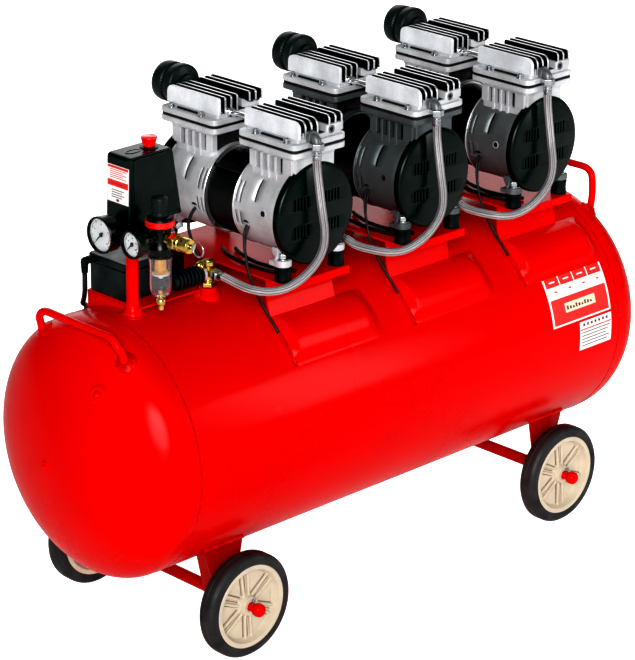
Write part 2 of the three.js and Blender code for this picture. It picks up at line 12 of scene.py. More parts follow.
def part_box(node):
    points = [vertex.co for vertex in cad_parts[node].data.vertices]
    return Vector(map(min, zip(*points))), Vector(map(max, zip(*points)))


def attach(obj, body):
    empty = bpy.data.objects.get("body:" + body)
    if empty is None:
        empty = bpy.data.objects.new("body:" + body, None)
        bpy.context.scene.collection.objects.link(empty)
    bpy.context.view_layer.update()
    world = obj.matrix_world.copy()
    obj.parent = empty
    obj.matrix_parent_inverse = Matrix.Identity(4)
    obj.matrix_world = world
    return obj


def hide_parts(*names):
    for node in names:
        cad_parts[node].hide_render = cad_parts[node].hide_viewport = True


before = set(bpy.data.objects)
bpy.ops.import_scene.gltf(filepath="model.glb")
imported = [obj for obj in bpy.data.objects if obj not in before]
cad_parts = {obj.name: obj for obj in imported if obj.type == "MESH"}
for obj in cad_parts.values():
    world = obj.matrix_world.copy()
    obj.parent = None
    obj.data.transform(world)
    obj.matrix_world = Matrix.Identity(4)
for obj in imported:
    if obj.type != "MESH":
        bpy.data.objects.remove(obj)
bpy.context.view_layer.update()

MM = 0.001
ROOT = "compressor"
UNITS = (1, 2, 3)
ENDS = {"front": -1, "rear": 1}


def box_mm(node):
    """Lowest and highest corner of a CAD node, in millimetres."""
    return [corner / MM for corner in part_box(node)]


def middle(node):
    low, high = box_mm(node)
    return (low + high) / 2


TANK_LOW, TANK_HIGH = box_mm("tank_shell")
TANK_RADIUS = (TANK_HIGH.y - TANK_LOW.y) / 2
TANK_HALF = TANK_HIGH.x
TANK_Z = 291
DOME_DEPTH = 88
SHAFT_Z = 589
UNIT_X = {n: middle(f"fan_cover_front_{n}").x for n in UNITS}
POST = Vector((-393.6, -17.5, 598))
REGULATOR = middle("regulator_knob")
VALVE = Vector((-268.5, -28.5, 507))
WHEEL_RADIUS = 75


# ---- camera, light and floor ----
def add_camera(position, azimuth, elevation, roll, lens):
    """A level camera turned to azimuth and elevation, then rolled, all in degrees."""
    a, e = math.radians(azimuth), math.radians(elevation)
    back = Vector((math.sin(a) * math.cos(e), -math.cos(a) * math.cos(e), math.sin(e)))
    right = Vector((0, 0, 1)).cross(back).normalized()
    up = back.cross(right)
    turn = Matrix((right, up, back)).transposed() @ Matrix.Rotation(math.radians(roll), 3, "Z")
    data = bpy.data.cameras.new("camera")
    data.sensor_fit = "HORIZONTAL"
    data.sensor_width = 36
    data.lens = lens
    data.clip_end = 50
    camera = bpy.data.objects.new("camera", data)
    camera.matrix_world = Matrix.Translation(Vector(position) * MM) @ turn.to_4x4()
    bpy.context.scene.collection.objects.link(camera)
    bpy.context.scene.camera = camera


def add_area_light(name, position, target, size, power):
    data = bpy.data.lights.new(name, "AREA")
    data.shape = "RECTANGLE"
    data.size, data.size_y = size
    data.energy = power
    lamp = bpy.data.objects.new(name, data)
    aim = (Vector(target) - Vector(position)).to_track_quat("-Z", "Y")
    lamp.matrix_world = Matrix.Translation(Vector(position)) @ aim.to_matrix().to_4x4()
    bpy.context.scene.collection.objects.link(lamp)


def seen_strength(tree, socket, unseen, seen):
    """Gives a glow one strength for the camera and another for the light it throws on things."""
    rays = tree.nodes.new("ShaderNodeLightPath")
    tree.links.new(add_range(tree, rays.outputs["Is Camera Ray"], unseen, seen, 0, 1), socket)


def add_studio():
    """Pale floor, white surroundings, an even sun and large soft lights."""
    world = bpy.context.scene.world or bpy.data.worlds.new("world")
    bpy.context.scene.world = world
    world.use_nodes = True
    background = world.node_tree.nodes["Background"]
    background.inputs["Color"].default_value = (1, 1, 1, 1)
    seen_strength(world.node_tree, background.inputs["Strength"], 0.25, 1.1)
    bpy.ops.mesh.primitive_plane_add(size=60)
    floor = bpy.context.object
    floor.name = "floor"
    white = surface("floor_white", (0.93, 0.93, 0.93), 0.7, mottle=(3, 0.01), grain=(60, 0.01))
    seen_strength(white.node_tree, white.node_tree.nodes["Principled BSDF"].inputs["Emission Strength"], 0.12, 0.9)
    floor.data.materials.append(white)
    for name, heading, energy, angle in (("sun", (0.70, 0.72, -0.36), 2.75, 30), ("back_sun", (-0.62, -0.78, -0.3), 1.7, 60)):
        data = bpy.data.lights.new(name, "SUN")
        data.energy = energy
        data.angle = math.radians(angle)
        sun = bpy.data.objects.new(name, data)
        sun.matrix_world = Vector(heading).to_track_quat("-Z", "Y").to_matrix().to_4x4()
        bpy.context.scene.collection.objects.link(sun)
    add_area_light("key", (-2.4, -2.2, 1.9), (0, 0, 0.4), (1.2, 0.7), 22)
    add_area_light("side", (1.9, -2.6, 1.2), (0.1, 0, 0.4), (0.5, 1.5), 22)
    view = bpy.context.scene.view_settings
    view.view_transform = "Standard"
    view.look = "None"
    view.gamma = 0.72
    view.use_curve_mapping = True
    view.curve_mapping.black_level = (0.015, 0.015, 0.015)


# ---- materials ----
def blank(name, colour, roughness, metallic=0.0, **sockets):
    """A Principled material with fixed socket values. Socket names use _ for a space."""
    made = bpy.data.materials.new(name)
    made.use_nodes = True
    shader = made.node_tree.nodes["Principled BSDF"]
    shader.inputs["Base Color"].default_value = (*colour, 1)
    shader.inputs["Roughness"].default_value = roughness
    shader.inputs["Metallic"].default_value = metallic
    for socket, value in sockets.items():
        shader.inputs[socket.replace("_", " ")].default_value = value
    return made, made.node_tree, shader


def node(tree, kind, **inputs):
    made = tree.nodes.new("ShaderNode" + kind)
    for name, value in inputs.items():
        made.inputs[name].default_value = value
    return made


def stretched_coordinates(tree, stretch, output="Object"):
    source = tree.nodes.new("ShaderNodeTexCoord")
    mapping = node(tree, "Mapping", Scale=stretch)
    tree.links.new(source.outputs[output], mapping.inputs["Vector"])
    return mapping.outputs["Vector"]


def add_noise(tree, vector, scale, detail=4.0):
    made = node(tree, "TexNoise", Scale=scale, Detail=detail)
    tree.links.new(vector, made.inputs["Vector"])
    return made.outputs["Fac"]


def add_range(tree, value, low, high, start=0.3, stop=0.7):
    made = node(tree, "MapRange")
    for name, number in (("From Min", start), ("From Max", stop), ("To Min", low), ("To Max", high)):
        made.inputs[name].default_value = number
    tree.links.new(value, made.inputs["Value"])
    return made.outputs["Result"]


def add_mix(tree, factor, first, second):
    """A colour that goes from first to second; each is a colour or another node's output."""
    made = tree.nodes.new("ShaderNodeMix")
    made.data_type = "RGBA"
    tree.links.new(factor, made.inputs["Factor"])
    for name, value in (("A", first), ("B", second)):
        socket = [s for s in made.inputs if s.name == name and s.type == "RGBA"][0]
        if isinstance(value, tuple):
            socket.default_value = (*value, 1)
        else:
            tree.links.new(value, socket)
    return [s for s in made.outputs if s.type == "RGBA"][0]


def add_bump(tree, shader, height, distance):
    """Raises the surface by height times distance, which is in millimetres."""
    made = node(tree, "Bump", Strength=1.0, Distance=distance * MM)
    tree.links.new(height, made.inputs["Height"])
    tree.links.new(made.outputs["Normal"], shader.inputs["Normal"])


def shade(colour, factor):
    return tuple(min(1.0, channel * factor) for channel in colour)


def surface(name, colour, roughness, metallic=0.0, mottle=(40, 0.12), grain=(900, 0.05), stretch=(1, 1, 1), **sockets):
    """A general finish. mottle is the scale and depth of slow changes in colour and gloss; grain is the scale of the
    fine relief and its height in millimetres; stretch draws both out along an axis."""
    made, tree, shader = blank(name, colour, roughness, metallic, **sockets)
    vector = stretched_coordinates(tree, stretch)
    blotch = add_noise(tree, vector, mottle[0])
    depth = mottle[1]
    colours = add_mix(tree, add_range(tree, blotch, 0, 1), shade(colour, 1 - depth), shade(colour, 1 + depth))
    tree.links.new(colours, shader.inputs["Base Color"])
    gloss = add_range(tree, blotch, roughness * (1 + depth), roughness * (1 - depth))
    tree.links.new(gloss, shader.inputs["Roughness"])
    add_bump(tree, shader, add_noise(tree, vector, grain[0], 3.0), grain[1])
    return made


def cast_metal(name, colour, pit_colour, roughness, metallic=0.85):
    """Sand-cast or die-cast metal: cloudy grey, dark pits and a pebbled relief."""
    made, tree, shader = blank(name, colour, roughness, metallic)
    vector = stretched_coordinates(tree, (1, 1, 1))
    cloud = add_noise(tree, vector, 28, 6.0)
    pits = node(tree, "TexVoronoi", Scale=520.0)
    tree.links.new(vector, pits.inputs["Vector"])
    base = add_mix(tree, add_range(tree, cloud, 0, 1), shade(colour, 0.8), shade(colour, 1.14))
    pitted = add_mix(tree, add_range(tree, pits.outputs["Distance"], 0.5, 0, 0.05, 0.3), base, pit_colour)
    tree.links.new(pitted, shader.inputs["Base Color"])
    tree.links.new(add_range(tree, cloud, roughness + 0.08, roughness - 0.08), shader.inputs["Roughness"])
    add_bump(tree, shader, add_noise(tree, vector, 650, 5.0), 0.25)
    return made


def cast_fins(name, edge_colour, wall_shade_colour):
    """Cast fins: pale tips and ends, and painted shade, a near-black colour, on the walls where the fins face one
    another along X.
    """
    made, tree, shader = blank(name, edge_colour, 0.42, 0.85)
    geometry = tree.nodes.new("ShaderNodeNewGeometry")
    parts = tree.nodes.new("ShaderNodeSeparateXYZ")
    tree.links.new(geometry.outputs["Normal"], parts.inputs["Vector"])
    facing = node(tree, "Math")
    facing.operation = "ABSOLUTE"
    tree.links.new(parts.outputs["X"], facing.inputs[0])
    vector = stretched_coordinates(tree, (1, 1, 1))
    cloud = add_noise(tree, vector, 60, 5.0)
    # Walls facing along X turn near-black: painted shade between the fins.
    wall = add_mix(tree, cloud, shade(wall_shade_colour, 0.6), shade(wall_shade_colour, 1.6))
    tip = add_mix(tree, cloud, shade(edge_colour, 0.85), shade(edge_colour, 1.12))
    tree.links.new(add_mix(tree, add_range(tree, facing.outputs[0], 0, 1, 0.75, 0.97), tip, wall), shader.inputs["Base Color"])
    add_bump(tree, shader, add_noise(tree, vector, 650, 5.0), 0.25)
    return made


def laminations(name, colour):
    """Pressed steel sheets on edge: fine dark grooves one after another along Y."""
    made, tree, shader = blank(name, colour, 0.45, 0.4)
    vector = stretched_coordinates(tree, (1, 1, 1))
    wave = node(tree, "TexWave", Scale=180.0, Distortion=0.4, Detail=1.0)
    wave.bands_direction = "Y"
    tree.links.new(vector, wave.inputs["Vector"])
    stripes = add_mix(tree, wave.outputs["Fac"], shade(colour, 0.5), shade(colour, 1.5))
    tree.links.new(stripes, shader.inputs["Base Color"])
    add_bump(tree, shader, wave.outputs["Fac"], 0.15)
    return made


def woven_wire(name):
    """Stainless wire braid: painted reflections as long bright and dark streaks along the tube, crossed by two fine
    slanting sets of strands.
    """
    made, tree, shader = blank(name, (0.7, 0.7, 0.72), 0.3, 0.6)
    source = tree.nodes.new("ShaderNodeTexCoord")

    def bands(across, along, scale, distortion=0.0):
        turned = node(tree, "Mapping", Scale=(across, along, 1.0))
        wave = node(tree, "TexWave", Scale=scale, Distortion=distortion, Detail=1.0)
        wave.bands_direction = "X" if along == 0 else "DIAGONAL"
        tree.links.new(source.outputs["UV"], turned.inputs["Vector"])
        tree.links.new(turned.outputs["Vector"], wave.inputs["Vector"])
        return wave.outputs["Fac"]

    woven = node(tree, "Math")
    woven.operation = "MAXIMUM"
    tree.links.new(bands(12.0, 2.4, 1.0), woven.inputs[0])
    tree.links.new(bands(12.0, -2.4, 1.0), woven.inputs[1])
    # Long bright and dark bands along the tube: painted reflections.
    painted_reflection_streaks = add_range(tree, bands(3.0, 0, 1.0), 0.15, 1.0, 0.05, 0.5)
    strands = add_mix(tree, add_range(tree, woven.outputs[0], 0, 1, 0.2, 0.8), (0.42, 0.42, 0.43), (0.97, 0.97, 0.98))
    colours = add_mix(tree, painted_reflection_streaks, (0.16, 0.16, 0.17), strands)
    tree.links.new(colours, shader.inputs["Base Color"])
    add_bump(tree, shader, woven.outputs[0], 0.6)
    return made


RED = surface("red_enamel", (0.69, 0.0008, 0.0015), 0.27, mottle=(9, 0.03), grain=(260, 0.045), Specular_IOR_Level=0.08,
              Coat_Weight=0.04, Coat_Roughness=0.12)
# A darker copy of the red enamel for the axle legs, folds, dimples and tube: painted shade.
SHADED_FRAME_RED = surface("red_frame_painted_shade", (0.40, 0.0006, 0.0012), 0.30, mottle=(20, 0.12), grain=(300, 0.05),
                    Specular_IOR_Level=0.12)
WELD = surface("red_weld", (0.54, 0.0008, 0.0015), 0.34, mottle=(120, 0.25), grain=(230, 1.1), Specular_IOR_Level=0.15)
CAST = cast_metal("cast_aluminium", (0.66, 0.67, 0.69), (0.17, 0.17, 0.18), 0.48, 0.35)
# A lighter copy of the cast aluminium for the heads' outer fin wall: painted light on the lit side.
LIT_HEAD_CAST = cast_metal("cast_aluminium_painted_light", (0.82, 0.84, 0.87), (0.28, 0.28, 0.29), 0.5, 0.15)
# Dark grey cast metal: the hose elbows' own colour, and painted shade on the third unit's barrel and lugs.
GREY_CAST_AND_SHADE = cast_metal("grey_cast_and_painted_shade", (0.19, 0.205, 0.21), (0.05, 0.05, 0.05), 0.42, 0.6)
DARK_CAST = cast_metal("dark_cast_aluminium", (0.13, 0.15, 0.155), (0.04, 0.04, 0.04), 0.46, 0.6)
# Near-black cast metal for the boxes low between the fins: painted shade, not soot.
PAINTED_SHADE_CAST = cast_metal("shaded_cast_aluminium", (0.04, 0.045, 0.05), (0.02, 0.02, 0.02), 0.7)
# The second colour is painted shade on the fin walls.
FIN = cast_fins("finned_casting", (0.74, 0.75, 0.77), (0.035, 0.042, 0.045))
MILLED = surface("milled_aluminium", (0.74, 0.74, 0.75), 0.3, 0.9, mottle=(90, 0.12), grain=(700, 0.06),
                 stretch=(1, 0.1, 1))
STEEL = surface("zinc_plated_steel", (0.46, 0.48, 0.50), 0.26, 1.0, mottle=(150, 0.2), grain=(900, 0.05))
CHROME = surface("chrome", (0.74, 0.75, 0.77), 0.08, 1.0, mottle=(30, 0.04), grain=(300, 0.01))
BRAID = woven_wire("steel_braid")
BRASS = surface("brass", (0.66, 0.49, 0.15), 0.24, 1.0, mottle=(160, 0.16), grain=(900, 0.05))
BLACK_METAL = surface("black_enamel", (0.006, 0.007, 0.007), 0.3, mottle=(30, 0.3), grain=(350, 0.06),
                      Specular_IOR_Level=0.3)
STATOR = laminations("stator_laminations", (0.008, 0.009, 0.009))
PLASTIC = surface("black_plastic", (0.012, 0.020, 0.020), 0.4, mottle=(50, 0.25), grain=(1100, 0.09),
                  Specular_IOR_Level=0.24)
GLOSS_PLASTIC = surface("gloss_black_plastic", (0.005, 0.012, 0.010), 0.24, mottle=(40, 0.2), grain=(500, 0.02),
                        Specular_IOR_Level=0.22)
RUBBER = surface("black_rubber", (0.006, 0.012, 0.011), 0.5, mottle=(70, 0.3), grain=(1300, 0.12),
                 Specular_IOR_Level=0.16)
TYRE = surface("tyre_rubber", (0.030, 0.031, 0.031), 0.5, mottle=(35, 0.35), grain=(800, 0.14),
               Specular_IOR_Level=0.35)
CREAM = surface("cream_plastic", (0.60, 0.53, 0.42), 0.42, mottle=(45, 0.06), grain=(600, 0.06))
CREAM_SHADE = surface("cream_in_shade", (0.20, 0.14, 0.08), 0.6, mottle=(90, 0.3), grain=(900, 0.05))
# Near-black rubber: the real head gaskets, and painted shade inside the barrel, in the neck core, barrel holes, lead
# openings, head channels and port holes.
GASKET_AND_SHADE = surface("gasket", (0.006, 0.006, 0.006), 0.75, mottle=(120, 0.3), grain=(900, 0.2))
RED_PLASTIC = surface("red_plastic", (0.82, 0.008, 0.006), 0.3, mottle=(60, 0.08), grain=(900, 0.04), Coat_Weight=0.3)
DIAL = surface("dial_white", (0.90, 0.91, 0.92), 0.5, mottle=(60, 0.02), grain=(900, 0.01))
INK = surface("ink", (0.015, 0.015, 0.018), 0.5, mottle=(200, 0.2), grain=(900, 0.01))
LABEL_WHITE = surface("label_white", (0.88, 0.87, 0.86), 0.4, mottle=(30, 0.03), grain=(500, 0.02))
LABEL_CREAM = surface("label_cream", (0.86, 0.74, 0.55), 0.4, mottle=(30, 0.03), grain=(500, 0.02))
LABEL_RED = surface("label_red", (0.72, 0.02, 0.015), 0.4, mottle=(30, 0.06), grain=(500, 0.02))
LABEL_INK = surface("label_ink", (0.10, 0.02, 0.02), 0.5, mottle=(300, 0.3), grain=(500, 0.02))
FILTER = surface("amber_filter", (0.85, 0.45, 0.10), 0.6, mottle=(500, 0.2), grain=(1500, 0.3))
CORD = surface("cord_sheath", (0.010, 0.010, 0.011), 0.5, mottle=(60, 0.3), grain=(1000, 0.06))
GLASS = surface("gauge_glass", (0.97, 0.98, 0.98), 0.04, mottle=(20, 0.01), grain=(100, 0.002), Transmission_Weight=1.0,
                IOR=1.15)
BOWL = surface("clear_bowl", (0.93, 0.92, 0.93), 0.06, mottle=(60, 0.02), grain=(120, 0.02), Transmission_Weight=0.96,
               IOR=1.3)


# ---- mesh tools ----
AXES = {"x": (1, 2, 0), "y": (0, 2, 1), "z": (0, 1, 2)}


def spot(axis, u, v, along):
    """A point from its two coordinates across an axis, in X, Y, Z order, and the one along it."""
    point = [0.0, 0.0, 0.0]
    for place, value in zip(AXES[axis], (u, v, along)):
        point[place] = value
    return Vector(point)


def circle(radius, count, centre=(0, 0), start=0.0, turn=2 * math.pi):
    """Points round a circle, or along an arc with both its ends."""
    whole = abs(turn) >= 2 * math.pi - 1e-6
    steps = count if whole else count - 1
    angles = [start + turn * i / steps for i in range(count)]
    return [(centre[0] + radius * math.cos(a), centre[1] + radius * math.sin(a)) for a in angles]


def rounded(outline, radius, steps=5):
    """The outline with each corner replaced by an arc. radius is one number, or one for each corner."""
    radii = radius if isinstance(radius, (list, tuple)) else [radius] * len(outline)
    made = []
    for i, corner in enumerate(outline):
        here = Vector(corner)
        before = (Vector(outline[i - 1]) - here)
        after = (Vector(outline[(i + 1) % len(outline)]) - here)
        reach = min(radii[i], before.length * 0.49, after.length * 0.49)
        if reach < 0.05:
            made.append(tuple(here))
            continue
        first, last = here + before.normalized() * reach, here + after.normalized() * reach
        for s in range(steps + 1):
            t = s / steps
            point = first * (1 - t) ** 2 + here * 2 * t * (1 - t) + last * t ** 2
            made.append(tuple(point))
    return made


def ease(t):
    """A smooth step from 0 to 1."""
    t = min(1.0, max(0.0, t))
    return t * t * (3 - 2 * t)


def rectangle(u, v):
    return [(u[0], v[0]), (u[1], v[0]), (u[1], v[1]), (u[0], v[1])]


def spline(points, per_span=8):
    """A smooth line through the points."""
    p = [Vector(q) for q in points]
    p = [2 * p[0] - p[1], *p, 2 * p[-1] - p[-2]]
    made = []
    for a, b, c, d in zip(p, p[1:], p[2:], p[3:]):
        for s in range(per_span):
            t = s / per_span
            made.append(0.5 * (2 * b + (c - a) * t + (2 * a - 5 * b + 4 * c - d) * t * t
                               + (3 * b - 3 * c + d - a) * t ** 3))
    return [*made, p[-2]]


class Shape:
    """Closed shells, in millimetres, gathered into one mesh."""

    def __init__(self):
        self.bm = bmesh.new()
        self.uv = self.bm.loops.layers.uv.new("UVMap")

    def strip(self, rings, closed_around=True, cap=True, closed_along=False):
        """Joins rings of points, each with as many points, into a skin. A ring of one point is a tip."""
        bm = self.bm
        made = [[bm.verts.new(point) for point in ring] for ring in rings]
        pairs = list(zip(made, made[1:])) + ([(made[-1], made[0])] if closed_along else [])
        for j, (a, b) in enumerate(pairs):
            count = max(len(a), len(b))
            for i in range(count if closed_around else count - 1):
                k = (i + 1) % count
                corners = [a[i % len(a)], a[k % len(a)], b[k % len(b)], b[i % len(b)]]
                unique = list(dict.fromkeys(corners))
                if len(unique) < 3:
                    continue
                face = bm.faces.new(unique)
                for loop in face.loops:
                    after = loop.vert in b
                    ring = b if after else a
                    column = ring.index(loop.vert) if len(ring) > 1 else i
                    if i == count - 1 and column == 0:
                        column = count
                    loop[self.uv].uv = (column / count, j + after)
        if cap and not closed_along:
            for ring in (made[0], made[-1]):
                if len(ring) > 2:
                    bm.faces.new(ring)
        return self

    def prism(self, outline, axis, span):
        return self.strip([[spot(axis, u, v, along) for u, v in outline] for along in span])

    def box(self, x, y, z):
        return self.prism(rectangle(x, y), "z", z)

    def lathe(self, profile, axis="z", centre=(0, 0, 0), sides=48, start=0.0):
        """Turns (radius, along) pairs round an axis through centre. A profile that ends where it starts is a ring."""
        centre = Vector(centre)
        closed = tuple(profile[0]) == tuple(profile[-1])
        rings = []
        for radius, along in profile[:-1] if closed else profile:
            around = circle(radius, sides, start=start) if radius > 1e-6 else [(0, 0)]
            rings.append([centre + spot(axis, u, v, along) for u, v in around])
        return self.strip(rings, closed_along=closed)

    def rod(self, start, end, radius, sides=24, end_radius=None, spin=0.0):
        start, end = Vector(start), Vector(end)
        turn = Vector((0, 0, 1)).rotation_difference(end - start)
        rings = []
        for point, size in ((start, radius), (end, radius if end_radius is None else end_radius)):
            rings.append([point + turn @ Vector((u, v, 0)) for u, v in circle(size, sides, start=spin)])
        return self.strip(rings)

    def hexagon(self, start, end, across, spin=0.0):
        """A hexagonal nut or head, across its flats, with its rims turned down a little."""
        start, end = Vector(start), Vector(end)
        step = (end - start).normalized() * across * 0.06
        turn = Vector((0, 0, 1)).rotation_difference(end - start)
        corner = across / math.sqrt(3)
        rings = []
        for point, size in ((start, corner * 0.9), (start + step, corner), (end - step, corner), (end, corner * 0.9)):
            rings.append([point + turn @ Vector((u, v, 0)) for u, v in circle(size, 6, start=spin)])
        return self.strip(rings)

    def sweep(self, points, radius, sides=12):
        """A round tube along the points. radius is one number or one for each point."""
        line = [Vector(p) for p in points]
        radii = radius if isinstance(radius, (list, tuple)) else [radius] * len(line)
        heading = (line[1] - line[0]).normalized()
        side = heading.orthogonal().normalized()
        rings = []
        for i, point in enumerate(line):
            ahead = (line[min(i + 1, len(line) - 1)] - line[max(i - 1, 0)]).normalized()
            side = (heading.rotation_difference(ahead) @ side).normalized()
            heading = ahead
            other = heading.cross(side)
            rings.append([point + side * u + other * v for u, v in circle(radii[i], sides)])
        return self.strip(rings)

    def ball(self, centre, radius, sides=24, squash=1.0, axis="z"):
        steps = sides // 2
        profile = [(radius * math.sin(math.pi * i / steps), -radius * squash * math.cos(math.pi * i / steps))
                   for i in range(steps + 1)]
        return self.lathe(profile, axis, centre, sides)

    def torus(self, centre, radius, thickness, axis="z", sides=40, around=12):
        ring = circle(thickness, around)
        return self.lathe([(radius + u, v) for u, v in ring] + [(radius + ring[0][0], ring[0][1])], axis, centre, sides)

    def moved(self, matrix):
        bmesh.ops.transform(self.bm, matrix=matrix, verts=self.bm.verts)
        return self

    def build(self, name, material, body=ROOT, bevel=0.0, smooth=34, replaces=(), slot=None, segments=2):
        """Makes the piece, rides it on its body and returns it. bevel is in millimetres."""
        bmesh.ops.recalc_face_normals(self.bm, faces=self.bm.faces)
        mesh = bpy.data.meshes.new(name)
        self.bm.to_mesh(mesh)
        self.bm.free()
        mesh.transform(Matrix.Scale(MM, 4))
        mesh.shade_smooth()
        mesh.set_sharp_from_angle(angle=math.radians(smooth))
        mesh.materials.append(material)
        made = bpy.data.objects.new(name, mesh)
        bpy.context.scene.collection.objects.link(made)
        if bevel:
            rounding = made.modifiers.new("edges", "BEVEL")
            rounding.width = bevel * MM
            rounding.segments = segments
            rounding.limit_method = "ANGLE"
            rounding.angle_limit = math.radians(smooth)
            rounding.harden_normals = True
        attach(made, body)
        if replaces:
            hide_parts(*([replaces] if isinstance(replaces, str) else replaces))
        return made


def plate(name, outline, holes, axis, span, material, bevel=0.6, **options):
    """A flat plate with holes, lying across an axis."""
    curve = bpy.data.curves.new(name, "CURVE")
    curve.dimensions = "2D"
    curve.fill_mode = "BOTH"
    curve.extrude = (span[1] - span[0]) / 2 - bevel
    curve.bevel_depth = bevel
    curve.bevel_resolution = 1
    curve.offset = -bevel
    for ring in (outline, *holes):
        line = curve.splines.new("POLY")
        line.points.add(len(ring) - 1)
        for place, (u, v) in zip(line.points, ring):
            place.co = (u, v, 0, 1)
        line.use_cyclic_u = True
    source = bpy.data.objects.new(name + "_outline", curve)
    shape = Shape()
    shape.bm.from_mesh(bpy.data.meshes.new_from_object(source))
    bpy.data.objects.remove(source)
    bmesh.ops.remove_doubles(shape.bm, verts=shape.bm.verts, dist=0.001)
    half = (span[0] + span[1]) / 2
    columns = [spot(axis, 1, 0, 0), spot(axis, 0, 1, 0), spot(axis, 0, 0, 1)]
    turn = Matrix(columns).transposed().to_4x4()
    shape.moved(Matrix.Translation(spot(axis, 0, 0, half)) @ turn)
    return shape.build(name, material, **options)


# ---- tank ----
def tank_top(y):
    return TANK_Z + math.sqrt(TANK_RADIUS ** 2 - y ** 2)


def dome_reach(radius):
    """How far along X the dome lies at a distance from the tank's axis."""
    return TANK_HALF - DOME_DEPTH + DOME_DEPTH * math.sqrt(max(0.0, 1 - (radius / TANK_RADIUS) ** 2))


def on_tank(x, angle, lift=0.0):
    """A point over the tank's round side. angle is in degrees from the top, towards +Y."""
    a = math.radians(angle)
    return Vector((x, (TANK_RADIUS + lift) * math.sin(a), TANK_Z + (TANK_RADIUS + lift) * math.cos(a)))


def bead(points, radius, seed=0.0):
    """A weld bead: a thin tube whose thickness ripples."""
    line = []
    for a, b in zip(points, points[1:]):
        a, b = Vector(a), Vector(b)
        steps = max(2, int((b - a).length / 2.5))
        line += [a.lerp(b, i / steps) for i in range(steps)]
    line.append(Vector(points[-1]))
    radii = [radius * (1 + 0.16 * math.sin(i * 2.1 + seed)) for i in range(len(line))]
    return Shape().sweep(line, radii, 8)


def make_tank():
    steps = 20
    dome = [(TANK_RADIUS * math.sin(math.pi / 2 * i / steps),
             TANK_HALF - DOME_DEPTH + DOME_DEPTH * math.cos(math.pi / 2 * i / steps)) for i in range(steps + 1)]
    profile = [(r, -x) for r, x in dome] + [(r, x) for r, x in reversed(dome)]
    shell = Shape().lathe(profile, "x", (0, 0, TANK_Z), 128)
    for i in UNITS:
        x = VALVE.x + UNIT_X[i] - UNIT_X[1]
        top = box_mm("tank_shell")[1].z
        shell.lathe([(0, 468), (18, 468), (16.5, 476), (13.5, 479), (12, top - 1), (11, top), (0, top)], "z",
                    (x, VALVE.y, 0), 40)
    shell.lathe([(0, TANK_LOW.z), (14, TANK_LOW.z), (15, TANK_LOW.z + 1), (15, TANK_LOW.z + 16), (0, TANK_LOW.z + 16)], "z",
                (0, 0, 0), 32)
    shell.build("tank_body", RED, replaces="tank_shell", slot="red_paint")
    seam = TANK_HALF - DOME_DEPTH
    for name, x in (("left", -seam + 12), ("right", seam - 12)):
        ring = [(x, y, z) for y, z in circle(TANK_RADIUS - 1.6, 360, (0, TANK_Z))]
        bead([*ring, ring[0]], 2.1).build(f"tank_seam_{name}", WELD)
    # Plug and bung on the left dome.
    for name, (y, z, radius) in {"plug": (16, 281, 8), "bung": (-67, 401, 13)}.items():
        reach = dome_reach(math.hypot(y, z - TANK_Z))
        normal = Vector((-(reach - seam) / DOME_DEPTH ** 2, y / TANK_RADIUS ** 2, (z - TANK_Z) / TANK_RADIUS ** 2))
        normal.normalize()
        place = Vector((-reach, y, z))
        fitting = Shape()
        fitting.rod(place - normal * 5, place + normal * 1.2, radius * 1.3, 32, radius * 1.1)
        fitting.rod(place, place + normal * 2.2, radius, 32, radius * 0.94)
        fitting.ball(place + normal * 1.6, radius * 0.5, 16)
        fitting.build(f"tank_{name}", RED, bevel=0.6)


def make_handle(side):
    name = "left" if side < 0 else "right"
    low, high = box_mm(f"handle_{name}")
    foot_x, bar_x, top = (466, 475, 477) if side < 0 else (464, 471, 505)
    foot_z = low.z + 11
    half = [(side * foot_x, 84, foot_z - 6), (side * (foot_x + 4), 83.5, (foot_z * 2 + top) / 3),
            (side * (bar_x - 1), 80, top - 12), (side * bar_x, 73, top - 3.5), (side * bar_x, 62, top),
            (side * bar_x, 40, top), (side * bar_x, 0, top)]
    other = [(x, -y, z) for x, y, z in reversed(half[:-1])]
    made = Shape().sweep(spline([*half, *other], 6), 5.4, 20)
    made.build(f"handle_{name}_bar", RED, replaces=f"handle_{name}", slot="red_paint", smooth=50)
    for end, y in (("front", -84), ("rear", 84)):
        offset = math.hypot(y, foot_z - 4 - TANK_Z)
        place = Vector((side * dome_reach(offset), y, foot_z - 4))
        normal = Vector((side * (abs(place.x) - TANK_HALF + DOME_DEPTH) / DOME_DEPTH ** 2, y / TANK_RADIUS ** 2,
                         (foot_z - 4 - TANK_Z) / TANK_RADIUS ** 2)).normalized()
        turn = Vector((0, 0, 1)).rotation_difference(normal).to_matrix().to_4x4()
        foot = Shape().lathe([(0, -4), (14.5, -4), (14.5, 0.6), (12, 2.2), (8.5, 3.4), (6.5, 6), (0, 6)], "z",
                             (0, 0, 0), 28)
        foot.moved(Matrix.Translation(place) @ turn).build(f"handle_{name}_foot_{end}", WELD)


